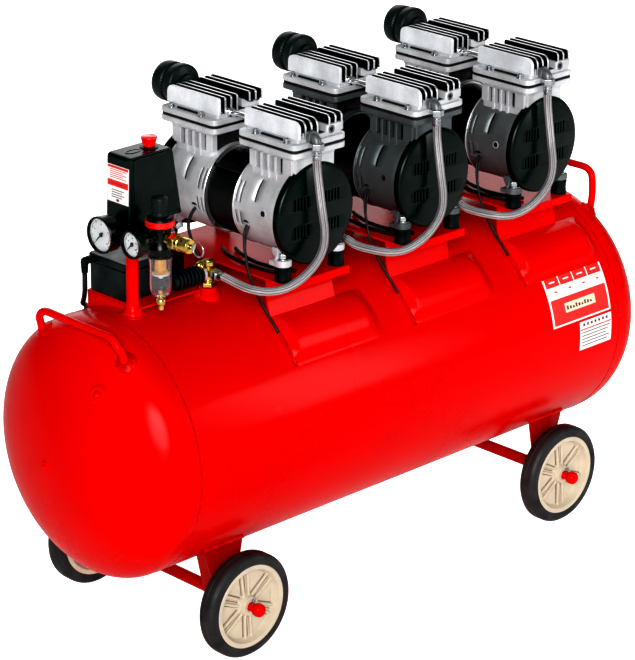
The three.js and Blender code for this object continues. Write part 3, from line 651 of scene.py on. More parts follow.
# ---- running gear ----
def make_wheel_frame(side):
    name = "left" if side < 0 else "right"
    low, high = box_mm(f"wheel_frame_{name}")
    axle = side * 324
    outer, inner = axle + side * 42, axle - side * 28
    for end, y in (("front", -1), ("rear", 1)):
        top = 178
        width = [(outer, top), (inner, top), (inner, 150), (axle - side * 15, 84), (axle - side * 14, 66),
                 (axle, 60), (axle + side * 15, 66), (axle + side * 18, 84), (outer, 150)]
        outline = rounded(width, [1, 1, 8, 6, 8, 10, 8, 6, 8], 4)
        spread = sorted((y * 122, y * 126))
        # The axle legs, folds, dimples and tube take the darker red: painted shade.
        plate(f"axle_leg_{name}_{end}", outline, [circle(6.4, 24, (axle, WHEEL_RADIUS))], "y", spread, SHADED_FRAME_RED, 0.7,
              replaces=f"wheel_frame_{name}" if end == "front" else (), slot="red_paint")
        fold = [(outer, top), (outer - side * 3.5, top), (axle + side * 12.5, 66), (axle + side * 16, 66)]
        Shape().prism(fold, "y", sorted((y * 98, y * 125))).build(f"axle_leg_fold_{name}_{end}", SHADED_FRAME_RED, bevel=1.2)
        ribs = Shape()
        for spot_x in (-10, 12):
            ribs.ball((axle + side * spot_x, y * 126, 112), 4.5, 20, 0.35, "y")
        ribs.build(f"axle_leg_dimples_{name}_{end}", SHADED_FRAME_RED)
        height = TANK_Z - math.sqrt(TANK_RADIUS ** 2 - 126 ** 2)
        line = [(inner, y * 127, height - 1), (outer, y * 127, height - 1)]
        bead(line, 2.4, 1.0).build(f"axle_leg_weld_{name}_{end}", WELD)
        end_y = y * high.y
        tip = Shape()
        tip.lathe([(0, y * 120), (6, y * 120), (6, end_y - y * 14.5), (8, end_y - y * 14), (9.3, end_y - y * 11),
                   (9.5, end_y - y * 7), (8.9, end_y - y * 3.6), (7, end_y - y * 1.3), (4, end_y - y * 0.3), (0, end_y)],
                  "y", (axle, 0, WHEEL_RADIUS), 40)
        tip.build(f"axle_tip_{name}_{end}", RED)
        pin = Shape()
        for lift in (-1.1, 1.1):
            pin.sweep([(axle + lift, y * 178, WHEEL_RADIUS - 10), (axle + lift, y * 178, WHEEL_RADIUS + 8)], 1.0, 10)
        pin.torus((axle, y * 178, WHEEL_RADIUS + 10.4), 2.7, 0.9, "y", 24, 10)
        pin.build(f"split_pin_{name}_{end}", STEEL)
    tube = Shape().rod((axle, -134, WHEEL_RADIUS), (axle, 134, WHEEL_RADIUS), 8.6, 32)
    tube.build(f"axle_tube_{name}", SHADED_FRAME_RED, bevel=0.8)


def make_wheel(number):
    """Tyre with a moulded shoulder line, and a cream wheel with six double spokes, hub and rim."""
    centre = middle(f"wheel_{number}")
    body = f"wheel_{number}"
    half = [(55, 9), (57, 12.6), (60.5, 13.4), (63, 13.8), (68, 13.9), (71.5, 12.4), (73.3, 10.2), (73.6, 9.6), (74.6, 8.4),
            (75, 6.5), (75, 1.2), (74.4, 0.7)]
    profile = [(r, -w) for r, w in half] + [(r, w) for r, w in reversed(half)] + [(55, -9)]
    tyre = Shape().lathe(profile, "y", centre, 96)
    tyre.build(f"tyre_{number}", TYRE, body, replaces=f"wheel_{number}", slot="wheel_rubber")
    disc = Shape()
    rim = [(49, 1.6), (51.5, 5), (52.6, 11.8), (53.4, 13.3), (57.2, 14), (59.6, 13.7), (60.4, 12.6), (60.4, 8), (56, 7)]
    ring = [(r, -w) for r, w in rim] + [(r, w) for r, w in reversed(rim)] + [(49, -1.6)]
    disc.lathe(ring, "y", centre, 96)
    face = [(6.4, 12.2), (7.4, 13.4), (12.6, 13.4), (13.6, 12.6), (15, 5), (17, 1.8), (50, 1.8)]
    web = [(r, -w) for r, w in face] + [(r, w) for r, w in reversed(face)] + [(6.4, -12.2)]
    disc.lathe(web, "y", centre, 96)
    # Thin dark rods along the spoke ribs: painted shade in the creases.
    grooves = Shape()
    for i in range(6):
        turn = 2 * math.pi * (i + 0.57) / 6
        out, across = Vector((math.cos(turn), 0, math.sin(turn))), Vector((-math.sin(turn), 0, math.cos(turn)))
        for w in (-1, 1):
            for offset in (-4.4, 4.4):
                a = centre + out * 13 + across * offset + Vector((0, w * 4.2, 0))
                b = centre + out * 51.5 + across * offset * 1.3 + Vector((0, w * 3.4, 0))
                disc.rod(a, b, 2.3, 12, 2.0)
            for offset in (-7.1, 0, 7.1):
                a = centre + out * 15 + across * offset + Vector((0, w * 1.7, 0))
                b = centre + out * 51 + across * offset * 1.25 + Vector((0, w * 1.7, 0))
                grooves.rod(a, b, 0.65, 8)
    disc.build(f"wheel_disc_{number}", CREAM, body, slot="wheel_rubber")
    grooves.build(f"wheel_spoke_shade_lines_{number}", CREAM_SHADE, body)


# ---- pump units ----
def make_motor_bracket(n):
    """Folded platform, legs that sweep out onto the tank, a pressed bulge on each foot, and rubber isolators."""
    x = UNIT_X[n]
    top = 502
    leg_y = 92
    left, right = -62, 112
    deck = Shape().prism([(x + u, v) for u, v in rounded(rectangle((-62, 62), (-130, 130)), 5)], "z", (top - 3, top))
    deck.build(f"motor_platform_{n}", RED, bevel=0.9, replaces=f"motor_bracket_{n}", slot="red_paint")
    first, last = math.asin(98 / TANK_RADIUS), math.asin(154 / TANK_RADIUS)

    def swell(u, t):
        """Height of the foot's skin over the tank, from its place along X and its share of the way down."""
        ends = ease((u - left) / 9) * ease((right - u) / 30)
        across = math.sin(math.pi * min(1.0, t * 1.06)) ** 0.9 if t < 0.94 else 0.0
        return 0.4 + 2.4 * (1 - t) * ease((right - u) / 12) + 14.2 * ends * across

    for end, s in ENDS.items():
        drop = [(leg_y, top - 2), (leg_y, 474), (leg_y + 0.6, 468), (leg_y + 2.4, 461.5)]
        skin = [*drop, (leg_y + 6, tank_top(leg_y + 6) + 0.2), (leg_y + 11, tank_top(leg_y + 11) + 1.5),
                (leg_y + 5.8, 463.5), (leg_y + 3.8, 469), (leg_y + 3.1, 474), (leg_y + 3.1, top - 2)]
        sheet = Shape().prism([(s * y, z) for y, z in skin], "x", (x - 62, x + 62))
        sheet.build(f"motor_leg_{end}_{n}", RED, bevel=0.5)
        rings = []
        columns, rows = 44, 26
        for i in range(columns + 1):
            u = left + (right - left) * i / columns
            skin_points, under = [], []
            for k in range(rows + 1):
                t = k / rows
                turn = first + (last - first) * t
                for line, lift in ((skin_points, swell(u, t)), (under, -2.0)):
                    reach = TANK_RADIUS + lift
                    line.append((x + u, s * reach * math.sin(turn), TANK_Z + reach * math.cos(turn)))
            rings.append(skin_points + under[::-1])
        Shape().strip(rings).build(f"motor_foot_{end}_{n}", RED, smooth=40)
        lip = Shape().prism(rectangle((x - 62, x + 62), (top - 12, top - 1)), "y", sorted((s * 127, s * 130)))
        lip.build(f"platform_lip_{end}_{n}", RED, bevel=1.0)
        edge = [on_tank(x + left - 0.5, s * math.degrees(first + (last - first) * i / 8), 1.2) for i in range(9)]
        bead(edge, 2.3, n).build(f"foot_weld_{end}_{n}", WELD)
        for k, u in enumerate((-50, 50)):
            rubber = Shape().lathe([(0, top), (11.4, top), (11.8, top + 1.5), (11.2, top + 4), (10.6, top + 10),
                                    (11.2, top + 16), (11.8, top + 19), (11.4, top + 20.8), (0, top + 20.8)], "z",
                                   (x + u, s * 114, 0), 32)
            rubber.build(f"isolator_{end}_{k}_{n}", RUBBER)


SLOTS = [(34, 9, 36), (42, 9, 36), (70, 15, 45), (34.5, -21, -3), (43, -21, -3)]


def make_crankcase(end, n):
    """Die-cast barrel with cooling slots, ribbed neck with windows, cylinder flange, webs and mounting lugs."""
    s = ENDS[end]
    x = UNIT_X[n]
    metal = DARK_CAST if n == 2 else CAST
    # The third unit's barrel and lugs take the dark grey: painted shade.
    barrel_metal = GREY_CAST_AND_SHADE if n == 3 else metal
    node_name = f"crankcase_{end}_{n}"
    # Barrel wall as a grid of patches, left open at the slots.
    radius = 63
    slot_edges = sorted({edge for y, _, _ in SLOTS for edge in (y - 1.5, y + 1.5)})
    lines = [27.9, *slot_edges, 56, 84, 100, 114.8]
    lines.sort()
    barrel = Shape()
    columns = 120
    grid = []
    for y in lines:
        ring = circle(radius, columns, (x, SHAFT_Z), start=math.pi, turn=-2 * math.pi)
        grid.append([barrel.bm.verts.new((u, s * y, v)) for u, v in ring])
    for j in range(len(lines) - 1):
        mid = (lines[j] + lines[j + 1]) / 2
        for i in range(columns):
            theta = (i + 0.5) * 360 / columns
            theta = theta - 360 if theta > 180 else theta
            mirrored = 180 - theta if theta >= 0 else -180 - theta
            if any(abs(mid - y) < 1.4 and (a < theta < b or a < mirrored < b) for y, a, b in SLOTS):
                continue
            k = (i + 1) % columns
            barrel.bm.faces.new([grid[j][i], grid[j][k], grid[j + 1][k], grid[j + 1][i]])
    shell = barrel.build(f"barrel_{end}_{n}", barrel_metal, smooth=30, replaces=node_name,
                         slot="dark_casting" if n == 2 else "bright_casting")
    wall = shell.modifiers.new("wall", "SOLIDIFY")
    wall.thickness = 1.4 * MM
    wall.offset = -1
    rim = Shape().lathe([(58, s * 27.9), (63.4, s * 27.9), (63.9, s * 28.4), (63.9, s * 29.6), (63.2, s * 30.2), (58, s * 30.2),
                         (58, s * 27.9)], "y", (x, 0, SHAFT_Z), 96)
    rim.lathe([(58, s * 112), (63.2, s * 112), (64.4, s * 112.6), (64.4, s * 114.4), (63.6, s * 114.9), (58, s * 114.9),
               (58, s * 112)], "y", (x, 0, SHAFT_Z), 96)
    rim.build(f"barrel_rims_{end}_{n}", MILLED if n != 2 else DARK_CAST)
    # A near-black ring inside the barrel, seen through the slots: painted shade.
    inner_shade = Shape().lathe([(9, s * 56), (60, s * 56), (60, s * 100), (53, s * 100), (52, s * 60), (9, s * 60), (9, s * 56)],
                          "y", (x, 0, SHAFT_Z), 48)
    inner_shade.build(f"crank_inner_shade_{end}_{n}", GASKET_AND_SHADE)
    inside = Shape().lathe([(44, s * 29), (59.6, s * 29), (59.6, s * 50), (44, s * 50), (44, s * 29)], "y", (x, 0, SHAFT_Z),
                           72)
    inside.build(f"stator_ring_{end}_{n}", MILLED)
    # Neck: a near-black core seen through the windows as painted shade, beams above and below the windows, and the ribs
    # between them.
    core = Shape().prism(rounded([(-33, 38), (33, 38), (33, 118), (-33, 118)], 8), "z", (636, 674))
    core.moved(Matrix.Translation((x, 0, 0)) @ Matrix.Diagonal((1, s, 1, 1)))
    core.build(f"neck_core_{end}_{n}", GASKET_AND_SHADE)
    neck = Shape()
    for low, high in ((668, 674.4), (632, 646)):
        outline = rounded([(-40, 37), (40, 37), (40, 124 if low > 650 else 114), (-40, 124 if low > 650 else 114)], 8)
        neck.prism(outline, "z", (low, high))
    for u in (-1, 1):
        for low, high in ((37, 50), (58.5, 63.5), (72, 77), (85.5, 91), (101, 119)):
            proud = 41.6 if 50 < low < 100 else 40
            neck.box(sorted((u * 30, u * proud)), (low, high), (633 if proud > 41 else 645, 669))
    neck.box((-36, 36), (112, 123), (645, 669))
    neck.moved(Matrix.Translation((x, 0, 0)) @ Matrix.Diagonal((1, s, 1, 1)))
    neck.build(f"neck_{end}_{n}", metal, bevel=1.1)
    flange = Shape().prism(rounded([(-50, 22), (50, 22), (50, 134), (-50, 134)], 11, 7), "z", (674.5, 682.6))
    flange.moved(Matrix.Translation((x, 0, 0)) @ Matrix.Diagonal((1, s, 1, 1)))
    flange.build(f"cylinder_flange_{end}_{n}", metal, bevel=1.3)
    # Webs down to the lugs, and the bolts through them.
    flare = [(-61, 524), (-61, 534), (-57.5, 539), (-55.5, 547), (-54.5, 562)]
    hang = [*flare, *[(-u, z) for u, z in reversed(flare)], (40, 524), (30, 530), (0, 533), (-30, 530), (-40, 524)]
    web = Shape().prism(rounded(hang, 4, 4), "y", sorted((s * 108, s * 111.5)))
    for u in (-50, 50):
        for v in (-1, 1):
            curve = [(y, 532 + 14 * ((112 - y) / 12) ** 2) for y in range(112, 99, -3)]
            fin = [(s * y, z) for y, z in [(112, 529), *curve, (102, 549), (112, 549)]]
            web.prism(fin, "x", sorted((u + v * 6.8, u + v * 8.6)))
        web.lathe([(0, 523.6), (11.4, 523.6), (12, 524.4), (12, 531.4), (11, 532.8), (0, 532.8)], "z", (u, s * 114, 0), 28)
        web.box(sorted((u - 11, u + 11)), sorted((s * 98, s * 114)), (523.6, 530))
    web.moved(Matrix.Translation((x, 0, 0)))
    web.build(f"lugs_{end}_{n}", barrel_metal, bevel=0.8)
    bolts = Shape()
    for u in (-50, 50):
        bolts.lathe([(0, 532.8), (9.5, 532.8), (9.5, 534.4), (0, 534.4)], "z", (x + u, s * 114, 0), 28)
        bolts.hexagon((x + u, s * 114, 534.4), (x + u, s * 114, 541.5), 13, 0.3)
        bolts.rod((x + u, s * 114, 541), (x + u, s * 114, 546), 3.8, 20, 3.2)
    bolts.build(f"lug_bolts_{end}_{n}", STEEL, bevel=0.3)
    # Near-black discs in the barrel holes: painted shade inside the holes.
    marks = Shape()
    for u in (-1, 1):
        turn = math.radians(3.7 if u < 0 else 176.3)
        out = Vector((-math.cos(turn), 0, math.sin(turn)))
        place = Vector((x, s * 88, SHAFT_Z)) + out * (radius - 1.5)
        marks.rod(place, place + out * 2.0, 4.4, 24)
    marks.build(f"barrel_holes_{end}_{n}", GASKET_AND_SHADE)
    lips = Shape()
    for u in (-1, 1):
        turn = math.radians(3.7 if u < 0 else 176.3)
        out = Vector((-math.cos(turn), 0, math.sin(turn)))
        up = out.cross(Vector((0, 1, 0)))
        rim_points = [Vector((x, s * 88 + 4.6 * a, SHAFT_Z)) + out * radius + up * 4.6 * b for a, b in circle(1, 24)]
        lips.sweep([*rim_points, rim_points[0]], 0.7, 8)
    lips.build(f"barrel_hole_lips_{end}_{n}", metal)


def make_motor_shell(n):
    x = UNIT_X[n]
    profile = [(38, -27), (58, -27), (59, -26), (59, 26), (58, 27), (38, 27), (38, -27)]
    Shape().lathe(profile, "y", (x, 0, SHAFT_Z), 96).build(f"stator_{n}", STATOR, replaces=f"motor_shell_{n}",
                                                          slot="black_metal")
    ties = Shape()
    for i in range(4):
        turn = math.radians(45 + 90 * i)
        u, w = 60.2 * math.cos(turn), 60.2 * math.sin(turn)
        ties.rod((x + u, -27.4, SHAFT_Z + w), (x + u, 27.4, SHAFT_Z + w), 2.6, 16)
    ties.build(f"stator_ties_{n}", BLACK_METAL)
    for name, offset, thick in (("power", 0, 1.9), ("earth", 5, 1.2)):
        lead = [(-56, -52 - offset, 571), (-64, -54 - offset, 561), (-69, -58 - offset / 2, 546), (-70.5, -63, 526),
                (-70.5, -70 - offset / 3, 503), (-69, -82 - offset / 3, 480), (-67.5, -98 - offset / 3, 460),
                (-66.5, -112 - offset / 3, 445 - offset / 5), (-65.5, -122, 433 - offset / 9)]
        wire = Shape().sweep(spline([(x + u, y, z) for u, y, z in lead], 6), thick, 14)
        wire.build(f"motor_lead_{name}_{n}", CORD)
    short = [(-56, 50, 571), (-65, 52, 560), (-71, 52, 545), (-72, 46, 528), (-70, 36, 510), (-67, 24, 490), (-64, 16, 478)]
    Shape().sweep(spline([(x + u, y, z) for u, y, z in short], 6), 2.3, 14).build(f"motor_lead_rear_{n}", CORD)
    for k, loop in enumerate(([(-24, 34), (-40, 8), (-47, -24), (-48, -62), (-40, -94)],
                              [(-12, 20), (-28, -14), (-34, -46), (-30, -78), (-16, -104)])):
        wire = [(x + u, y, 505.2 + 1.5 * (0 < i < 4)) for i, (u, y) in enumerate(loop)]
        Shape().sweep(spline(wire, 8), 2.8, 14).build(f"platform_lead_{k}_{n}", CORD)
    # Near-black plugs in the lead openings: painted shade inside the openings.
    cavity = Shape()
    for y in (-53, 51):
        cavity.rod((x - 50, y, 576), (x - 58.6, y, 569.4), 8, 24, 7)
    cavity.build(f"lead_openings_{n}", GASKET_AND_SHADE, bevel=0.5)


def make_fan_cover(end, n):
    s = ENDS[end]
    x = UNIT_X[n]
    low, high = box_mm(f"fan_cover_{end}_{n}")
    face = high.y if s > 0 else -low.y
    holes = []
    for u in (-1, 1):
        for v in (-1, 1):
            for k in range(5):
                at = x + u * (17 + k * 5.8)
                z = SHAFT_Z + v * 20
                holes.append(rounded(rectangle((at - 1.25, at + 1.25), (z - 8.5, z + 8.5)), 1.2, 3))
    plate(f"grille_{end}_{n}", circle(64.5, 96, (x, SHAFT_Z)), holes, "y", sorted((s * (face - 3), s * face)),
          GLOSS_PLASTIC, 0.4, replaces=f"fan_cover_{end}_{n}", slot="black_plastic")
    skirt = [(64, s * 124.4), (64.5, s * face), (67.5, s * (face - 0.5)), (70, s * (face - 2)), (71.2, s * (face - 4.2)),
             (71.5, s * (face - 6)), (71.5, s * 115.8), (70.8, s * 115.3), (68.6, s * 115.3), (68, s * 121), (64, s * 124.4)]
    rim = Shape().lathe(skirt, "y", (x, 0, SHAFT_Z), 128)
    rim.build(f"cover_rim_{end}_{n}", GLOSS_PLASTIC)
    screws = Shape()
    for i in range(3):
        turn = math.radians(90 + 120 * i)
        place = Vector((x + 55 * math.cos(turn), s * face, SHAFT_Z + 55 * math.sin(turn)))
        screws.rod(place - Vector((0, s * 1.5, 0)), place - Vector((0, s * 0.1, 0)), 3.4, 20)
    screws.build(f"cover_screws_{end}_{n}", STEEL)


def fin_outline(front, back, low, top, corner):
    return rounded([(back, low), (back, top), (front, top), (front, low)], [0, 4, corner, 0], 7)


def make_heads(n):
    """Two finned heads with gaskets, flange screws, ports and the chrome pipe across."""
    x = UNIT_X[n]
    port_x, port_z = -17, 701.5
    for end, s in ENDS.items():
        place = Matrix.Translation((x, 0, 0)) @ Matrix.Diagonal((1, s, 1, 1))
        seal = Shape().prism(rounded([(-49, 23), (49, 23), (49, 133), (-49, 133)], 10, 7), "z", (682.8, 686.4)).moved(place)
        seal.build(f"gasket_{end}_{n}", GASKET_AND_SHADE, bevel=0.5)
        base = Shape().prism(rounded([(-50, 22), (50, 22), (50, 134), (-50, 134)], 11, 7), "z", (686.6, 694.6))
        base.moved(place).build(f"head_flange_{end}_{n}", CAST, bevel=1.3,
                                **({"replaces": f"heads_{n}", "slot": "bright_casting"} if s < 0 else {}))
        head = Shape().prism(rounded([(-38.5, 27), (46, 27), (46, 129), (-38.5, 129)], 5, 4), "z", (694, 700))
        head.prism(rounded([(14, 34), (46, 34), (46, 130.6), (14, 130.6)], 3, 3), "z", (699, 710.5))
        head.prism(rounded([(-27, 30), (-7, 30), (-7, 130), (-27, 130)], 3, 3), "z", (699, 707))
        head.moved(place).build(f"head_block_{end}_{n}", CAST, bevel=0.9)
        # Near-black boxes low between the fins: painted shade in the valleys.
        floors = Shape()
        for low, high, height in ((-33, -16.6, 707.6), (-12, 14, 700.6), (22.4, 29.4, 711), (34, 41, 711)):
            floors.box((low, high), (28, 126), (height - 4, height))
        floors.moved(place).build(f"fin_valleys_{end}_{n}", PAINTED_SHADE_CAST)
        fins, wall = Shape(), Shape()
        for u in (-36, -25, -14, -3, 20, 31.5, 43):
            wide = 2.6 if u == -36 else 1.6
            low = 709 if u > 10 else 699
            front = 129.5 if u > 10 else 130.5
            made = wall if u == -36 else fins
            made.prism(fin_outline(front, 25.6, low, 723.4, 13), "x", (u - wide, u + wide))
        fins.moved(place).build(f"head_fins_{end}_{n}", FIN, bevel=0.7)
        # The outer fin wall takes the lighter copy of the casting: painted light.
        wall.moved(place).build(f"head_wall_{end}_{n}", LIT_HEAD_CAST, bevel=0.9)
        rod = Shape()
        for u in (-46, 48.2):
            for v in (54, 114):
                if u > 0:
                    continue
                rod.lathe([(0, 694.6), (4.3, 694.6), (4.3, 700.4), (3.9, 700.9), (2.1, 700.9), (2.1, 698), (0, 698)], "z",
                          (u + 1.2, v, 0), 24)
                rod.lathe([(0, 694.6), (5.6, 694.6), (5.6, 695.8), (0, 695.8)], "z", (u + 1.2, v, 0), 24)
        rod.moved(place).build(f"head_screws_{end}_{n}", STEEL, bevel=0.3)
        # Near-black strip along the channel beside the head block: painted shade in the channel.
        strip = Shape().box((-42.6, -39.2), (62, 106), (694.6, 697.2)).moved(place)
        strip.build(f"head_channel_{end}_{n}", GASKET_AND_SHADE, bevel=0.5)
        plug = Shape().lathe([(0, 130), (5.6, 130), (5.6, 130.9), (4.4, 131), (3.9, 130.4), (0, 130.4)], "y",
                             (22.6, 0, 703.5), 28)
        plug.moved(place).build(f"head_port_{end}_{n}", DARK_CAST)
        # Near-black disc in the port: painted shade inside the hole.
        cup = Shape().lathe([(0, 130), (3.7, 130), (3.7, 130.7), (0, 130.7)], "y", (22.6, 0, 703.5), 28)
        cup.moved(place).build(f"head_port_hole_{end}_{n}", GASKET_AND_SHADE)
    pipe = Shape().rod((x + port_x, -30, port_z), (x + port_x, 30, port_z), 4.5, 32)
    for s in (-1, 1):
        pipe.lathe([(0, s * 20), (4.6, s * 20), (6.4, s * 21.5), (6.8, s * 24), (6.8, s * 29), (0, s * 29)], "y",
                   (x + port_x, 0, port_z), 32)
    pipe.build(f"crossover_pipe_{n}", CHROME)


def make_intake_filter(n):
    x = UNIT_X[n] + 3
    profile = [(0, 131.6), (14, 131.6), (16, 132.5), (16.5, 138), (20, 139.4), (27, 139.8), (29, 141.5), (29.4, 144),
               (29.4, 152), (28.6, 154), (26.4, 155), (26, 156.4), (26, 159), (26.6, 160.4), (28, 161.2), (28.6, 163),
               (28.6, 174), (27.6, 178.5), (24, 181.4), (14, 182.6), (0, 182.9)]
    body = Shape().lathe(profile, "y", (x, 0, 711.4), 64)
    body.build(f"filter_body_{n}", PLASTIC, replaces=f"intake_filter_{n}", slot="black_plastic", smooth=50)
    louvres = Shape()
    for i in range(36):
        turn = 2 * math.pi * i / 36
        u, w = 26.4 * math.cos(turn), 26.4 * math.sin(turn)
        louvres.rod((x + u, 154.6, 711.4 + w), (x + u, 161, 711.4 + w), 0.9, 6)
    louvres.build(f"filter_louvres_{n}", PLASTIC)


def hose_route(n):
    """The braided hose's line from the elbow on the front head to its nut, relative to the unit's middle."""
    bend = [(-17, -131, 701.5), (-17, -137, 700.6), (-17, -141.6, 696), (-17, -143, 689), (-17, -143, 676)]
    fall = [(-15, -143, 652), (-9, -146, 600), (-6, -148, 572), (-9, -149, 549), (-22, -149, 530), (-46, -149, 515)]
    if n == 1:
        end = [(-75, -148, 507), (-103, -143, 507), (-120, -128, 510), (-123, -108, 512), (-118, -86, 511),
               (-109.5, -62, 508), (-108.5, -52, 507)]
    else:
        end = [(-77, -148, 507), (-101, -140, 506), (-114, -115, 507), (-116, -88, 507), (-108.5, -64, 507),
               (-108.5, -52, 507)]
    return bend, fall, end


def make_hose(n):
    x = UNIT_X[n]
    bend, fall, end = hose_route(n)
    shift = Vector((x, 0, 0))
    line = spline([Vector(p) + shift for p in [bend[-1], *fall, *end]], 10)
    hose = Shape().sweep(line, 5.9, 20)
    hose.build(f"hose_braid_{n}", BRAID, replaces=f"hose_{n}", slot="braided_steel")
    elbow = Shape()
    elbow.hexagon((x - 17, -131.2, 701.5), (x - 17, -137.4, 701.5), 17, math.pi / 6)
    elbow.sweep(spline([Vector(p) + shift for p in [(-17, -136, 701.5), (-17, -139.4, 700.8), (-17, -142, 698),
                                                     (-17, -143, 694)]], 5), 6.6, 24)
    elbow.build(f"hose_elbow_{n}", GREY_CAST_AND_SHADE, bevel=0.3)
    fitting = Shape()
    fitting.hexagon((x - 17, -143, 695.4), (x - 17, -143, 685.4), 17.4, 0.3)
    fitting.lathe([(0, 687), (6.1, 687), (6.3, 686), (6.3, 683), (5.7, 682.4), (6.3, 681.8), (6.3, 678.5), (5.7, 678),
                   (6.3, 677.4), (6.3, 672.6), (5.9, 672), (0, 672)], "z", (x - 17, -143, 0), 28)
    fitting.build(f"hose_ferrule_{n}", STEEL, bevel=0.3)
    nut = Shape()
    last = Vector(end[-1]) + shift
    nut.rod(Vector(end[-2]) + shift * 1.0, last, 6.25, 28, 6.25)
    nut.rod(last - Vector((0, 2, 0)), last + Vector((0, 2.2, 0)), 6.3, 28)
    if n == 1:
        nut.hexagon(last + Vector((0, 1.5, 0)), last + Vector((0, 11, 0)), 15.4, math.pi / 6)
    else:
        turn = [last, last + Vector((0, 12, 0)), last + Vector((0, 20, -1.5)), last + Vector((0, 23.2, -6)),
                last + Vector((0, 23.5, -12))]
        nut.sweep(spline(turn, 5), 5.8, 24)
        nut.hexagon(last + Vector((0, 0.5, 0)), last + Vector((0, 9.5, 0)), 15.4, math.pi / 6)
        nut.hexagon(last + Vector((0, 23.5, -11.5)), last + Vector((0, 23.5, -20.6)), 15.4, 0)
    nut.build(f"hose_nut_{n}", STEEL, bevel=0.3)


def make_rotor(n):
    """Shaft, armature and two bladed fans behind the grilles."""
    x = UNIT_X[n]
    body = f"rotor_{n}"
    low, high = box_mm(body)
    shaft = Shape()
    shaft.lathe([(0, low.y), (5, low.y + 0.4), (6, low.y + 1.4), (6, high.y - 1.4), (5, high.y - 0.4), (0, high.y)], "y",
                (x, 0, SHAFT_Z), 32)
    shaft.lathe([(6, -20), (30, -20), (32, -18), (32, 18), (30, 20), (6, 20), (6, -20)], "y", (x, 0, SHAFT_Z), 48)
    shaft.build(f"rotor_shaft_{n}", STEEL, body, replaces=body, slot="bare_steel")
    outer = (high.x - low.x) / 2 - 1.5
    fans = Shape()
    for s in (-1, 1):
        hub = s * 98
        fans.lathe([(6, hub), (13, hub), (13, hub + s * 14), (6, hub + s * 14), (6, hub)], "y", (x, 0, SHAFT_Z), 32)
        for i in range(8):
            a = 2 * math.pi * i / 8
            out, across = Vector((math.cos(a), 0, math.sin(a))), Vector((-math.sin(a), 0, math.cos(a)))
            rings = []
            for t in (0.0, 0.25, 0.5, 0.75, 1.0):
                centre = Vector((x, hub + s * 7, SHAFT_Z)) + out * (12 + (outer - 12) * t) + across * 4 * t * t
                half = across * (3.2 + 3.2 * t) + Vector((0, 4.6, 0))
                thick = (Vector((0, 1, 0)) * (3.2 + 3.2 * t) - across * 4.6).normalized() * 0.7
                rings.append([centre + half + thick, centre - half + thick, centre - half - thick, centre + half - thick])
            fans.strip(rings)
    fans.build(f"rotor_fans_{n}", PLASTIC, body)


# ---- controls ----
def make_bracket():
    """Bent plate on the tank, and the riser post with its welded foot."""
    low, high = box_mm("control_box_bracket")
    top = 486.7
    plate_outline = rounded(rectangle((-395, -286), (-32, 74)), [3, 3, 3, 3])
    Shape().prism(plate_outline, "z", (top - 3, top)).build(
        "bracket_plate", RED, bevel=0.8, replaces="control_box_bracket", slot="red_paint")
    for name, x in (("left", -395), ("right", -289)):
        under = [(y, tank_top(y) + 0.2) for y in range(-32, 75, 6)] + [(74, tank_top(74) + 0.2)]
        side = Shape().prism([(-32, top - 1), *under, (74, top - 1)], "x", (x, x + 3))
        side.build(f"bracket_side_{name}", RED, bevel=0.6)
        line = [(x + 1.5, y, z + 0.5) for y, z in under]
        bead(line, 2.0, x).build(f"bracket_weld_{name}", WELD)
    lip = Shape().prism(rounded(rectangle((-395, -286), (top - 11, top - 0.5)), 2), "y", (71, 74))
    lip.build("bracket_lip", RED, bevel=0.8)
    post = Shape().rod((POST.x, POST.y, 466), (POST.x, POST.y, 576), 8.5, 36)
    post.lathe([(0, 466), (15, 466), (15, 473), (14.2, 477), (11.6, 480.5), (9.6, 485), (8.9, 492), (8.5, 494),
                (0, 494)], "z", (POST.x, POST.y, 0), 40)
    post.build("riser_post", RED)
    ring = []
    for y, x in circle(15.4, 41, (POST.y, POST.x)):
        ring.append((x, y, tank_top(y) + 0.6))
    bead([*ring, ring[0]], 2.2).build("riser_weld", WELD)


def make_manifold():
    x, y, z = POST
    tree = Shape()
    tree.hexagon((x, y, 576.4), (x, y, 590), 24, math.pi / 6)
    tree.rod((x, y, 588), (x, y, 606.5), 11.5, 36)
    tree.rod((x, y, z), (x - 26, y, z), 7, 28)
    tree.hexagon((x - 10, y, z), (x - 19, y, z), 17, 0)
    tree.rod((x, y, z), (x, REGULATOR.y + 15.4, z), 7, 28)
    tree.hexagon((x, y - 9, z), (x, y - 17, z), 17, math.pi / 6)
    tree.rod((x, y, z - 6), (x + 56, y, z - 6), 7, 28)
    tree.rod((x + 55, y, z - 6), (x + 61.5, y, z - 6), 7.8, 28, 6.5)
    tree.build("manifold_cross", BLACK_METAL, bevel=0.5, replaces="manifold", slot="brass")
    unloader = Shape()
    unloader.hexagon((x + 58, y - 5, z - 6), (x + 58, y - 15, z - 6), 10.4, math.pi / 6)
    unloader.rod((x + 58, y - 14, z - 6), (x + 58, y - 20, z - 6), 4.2, 24)
    unloader.lathe([(0, y - 19), (5.2, y - 19), (5.4, y - 20), (5.4, y - 26.4), (4.6, y - 28), (0, y - 28.4)], "y",
                   (x + 58, 0, z - 6), 24)
    unloader.build("unloader_fitting", STEEL, bevel=0.3)


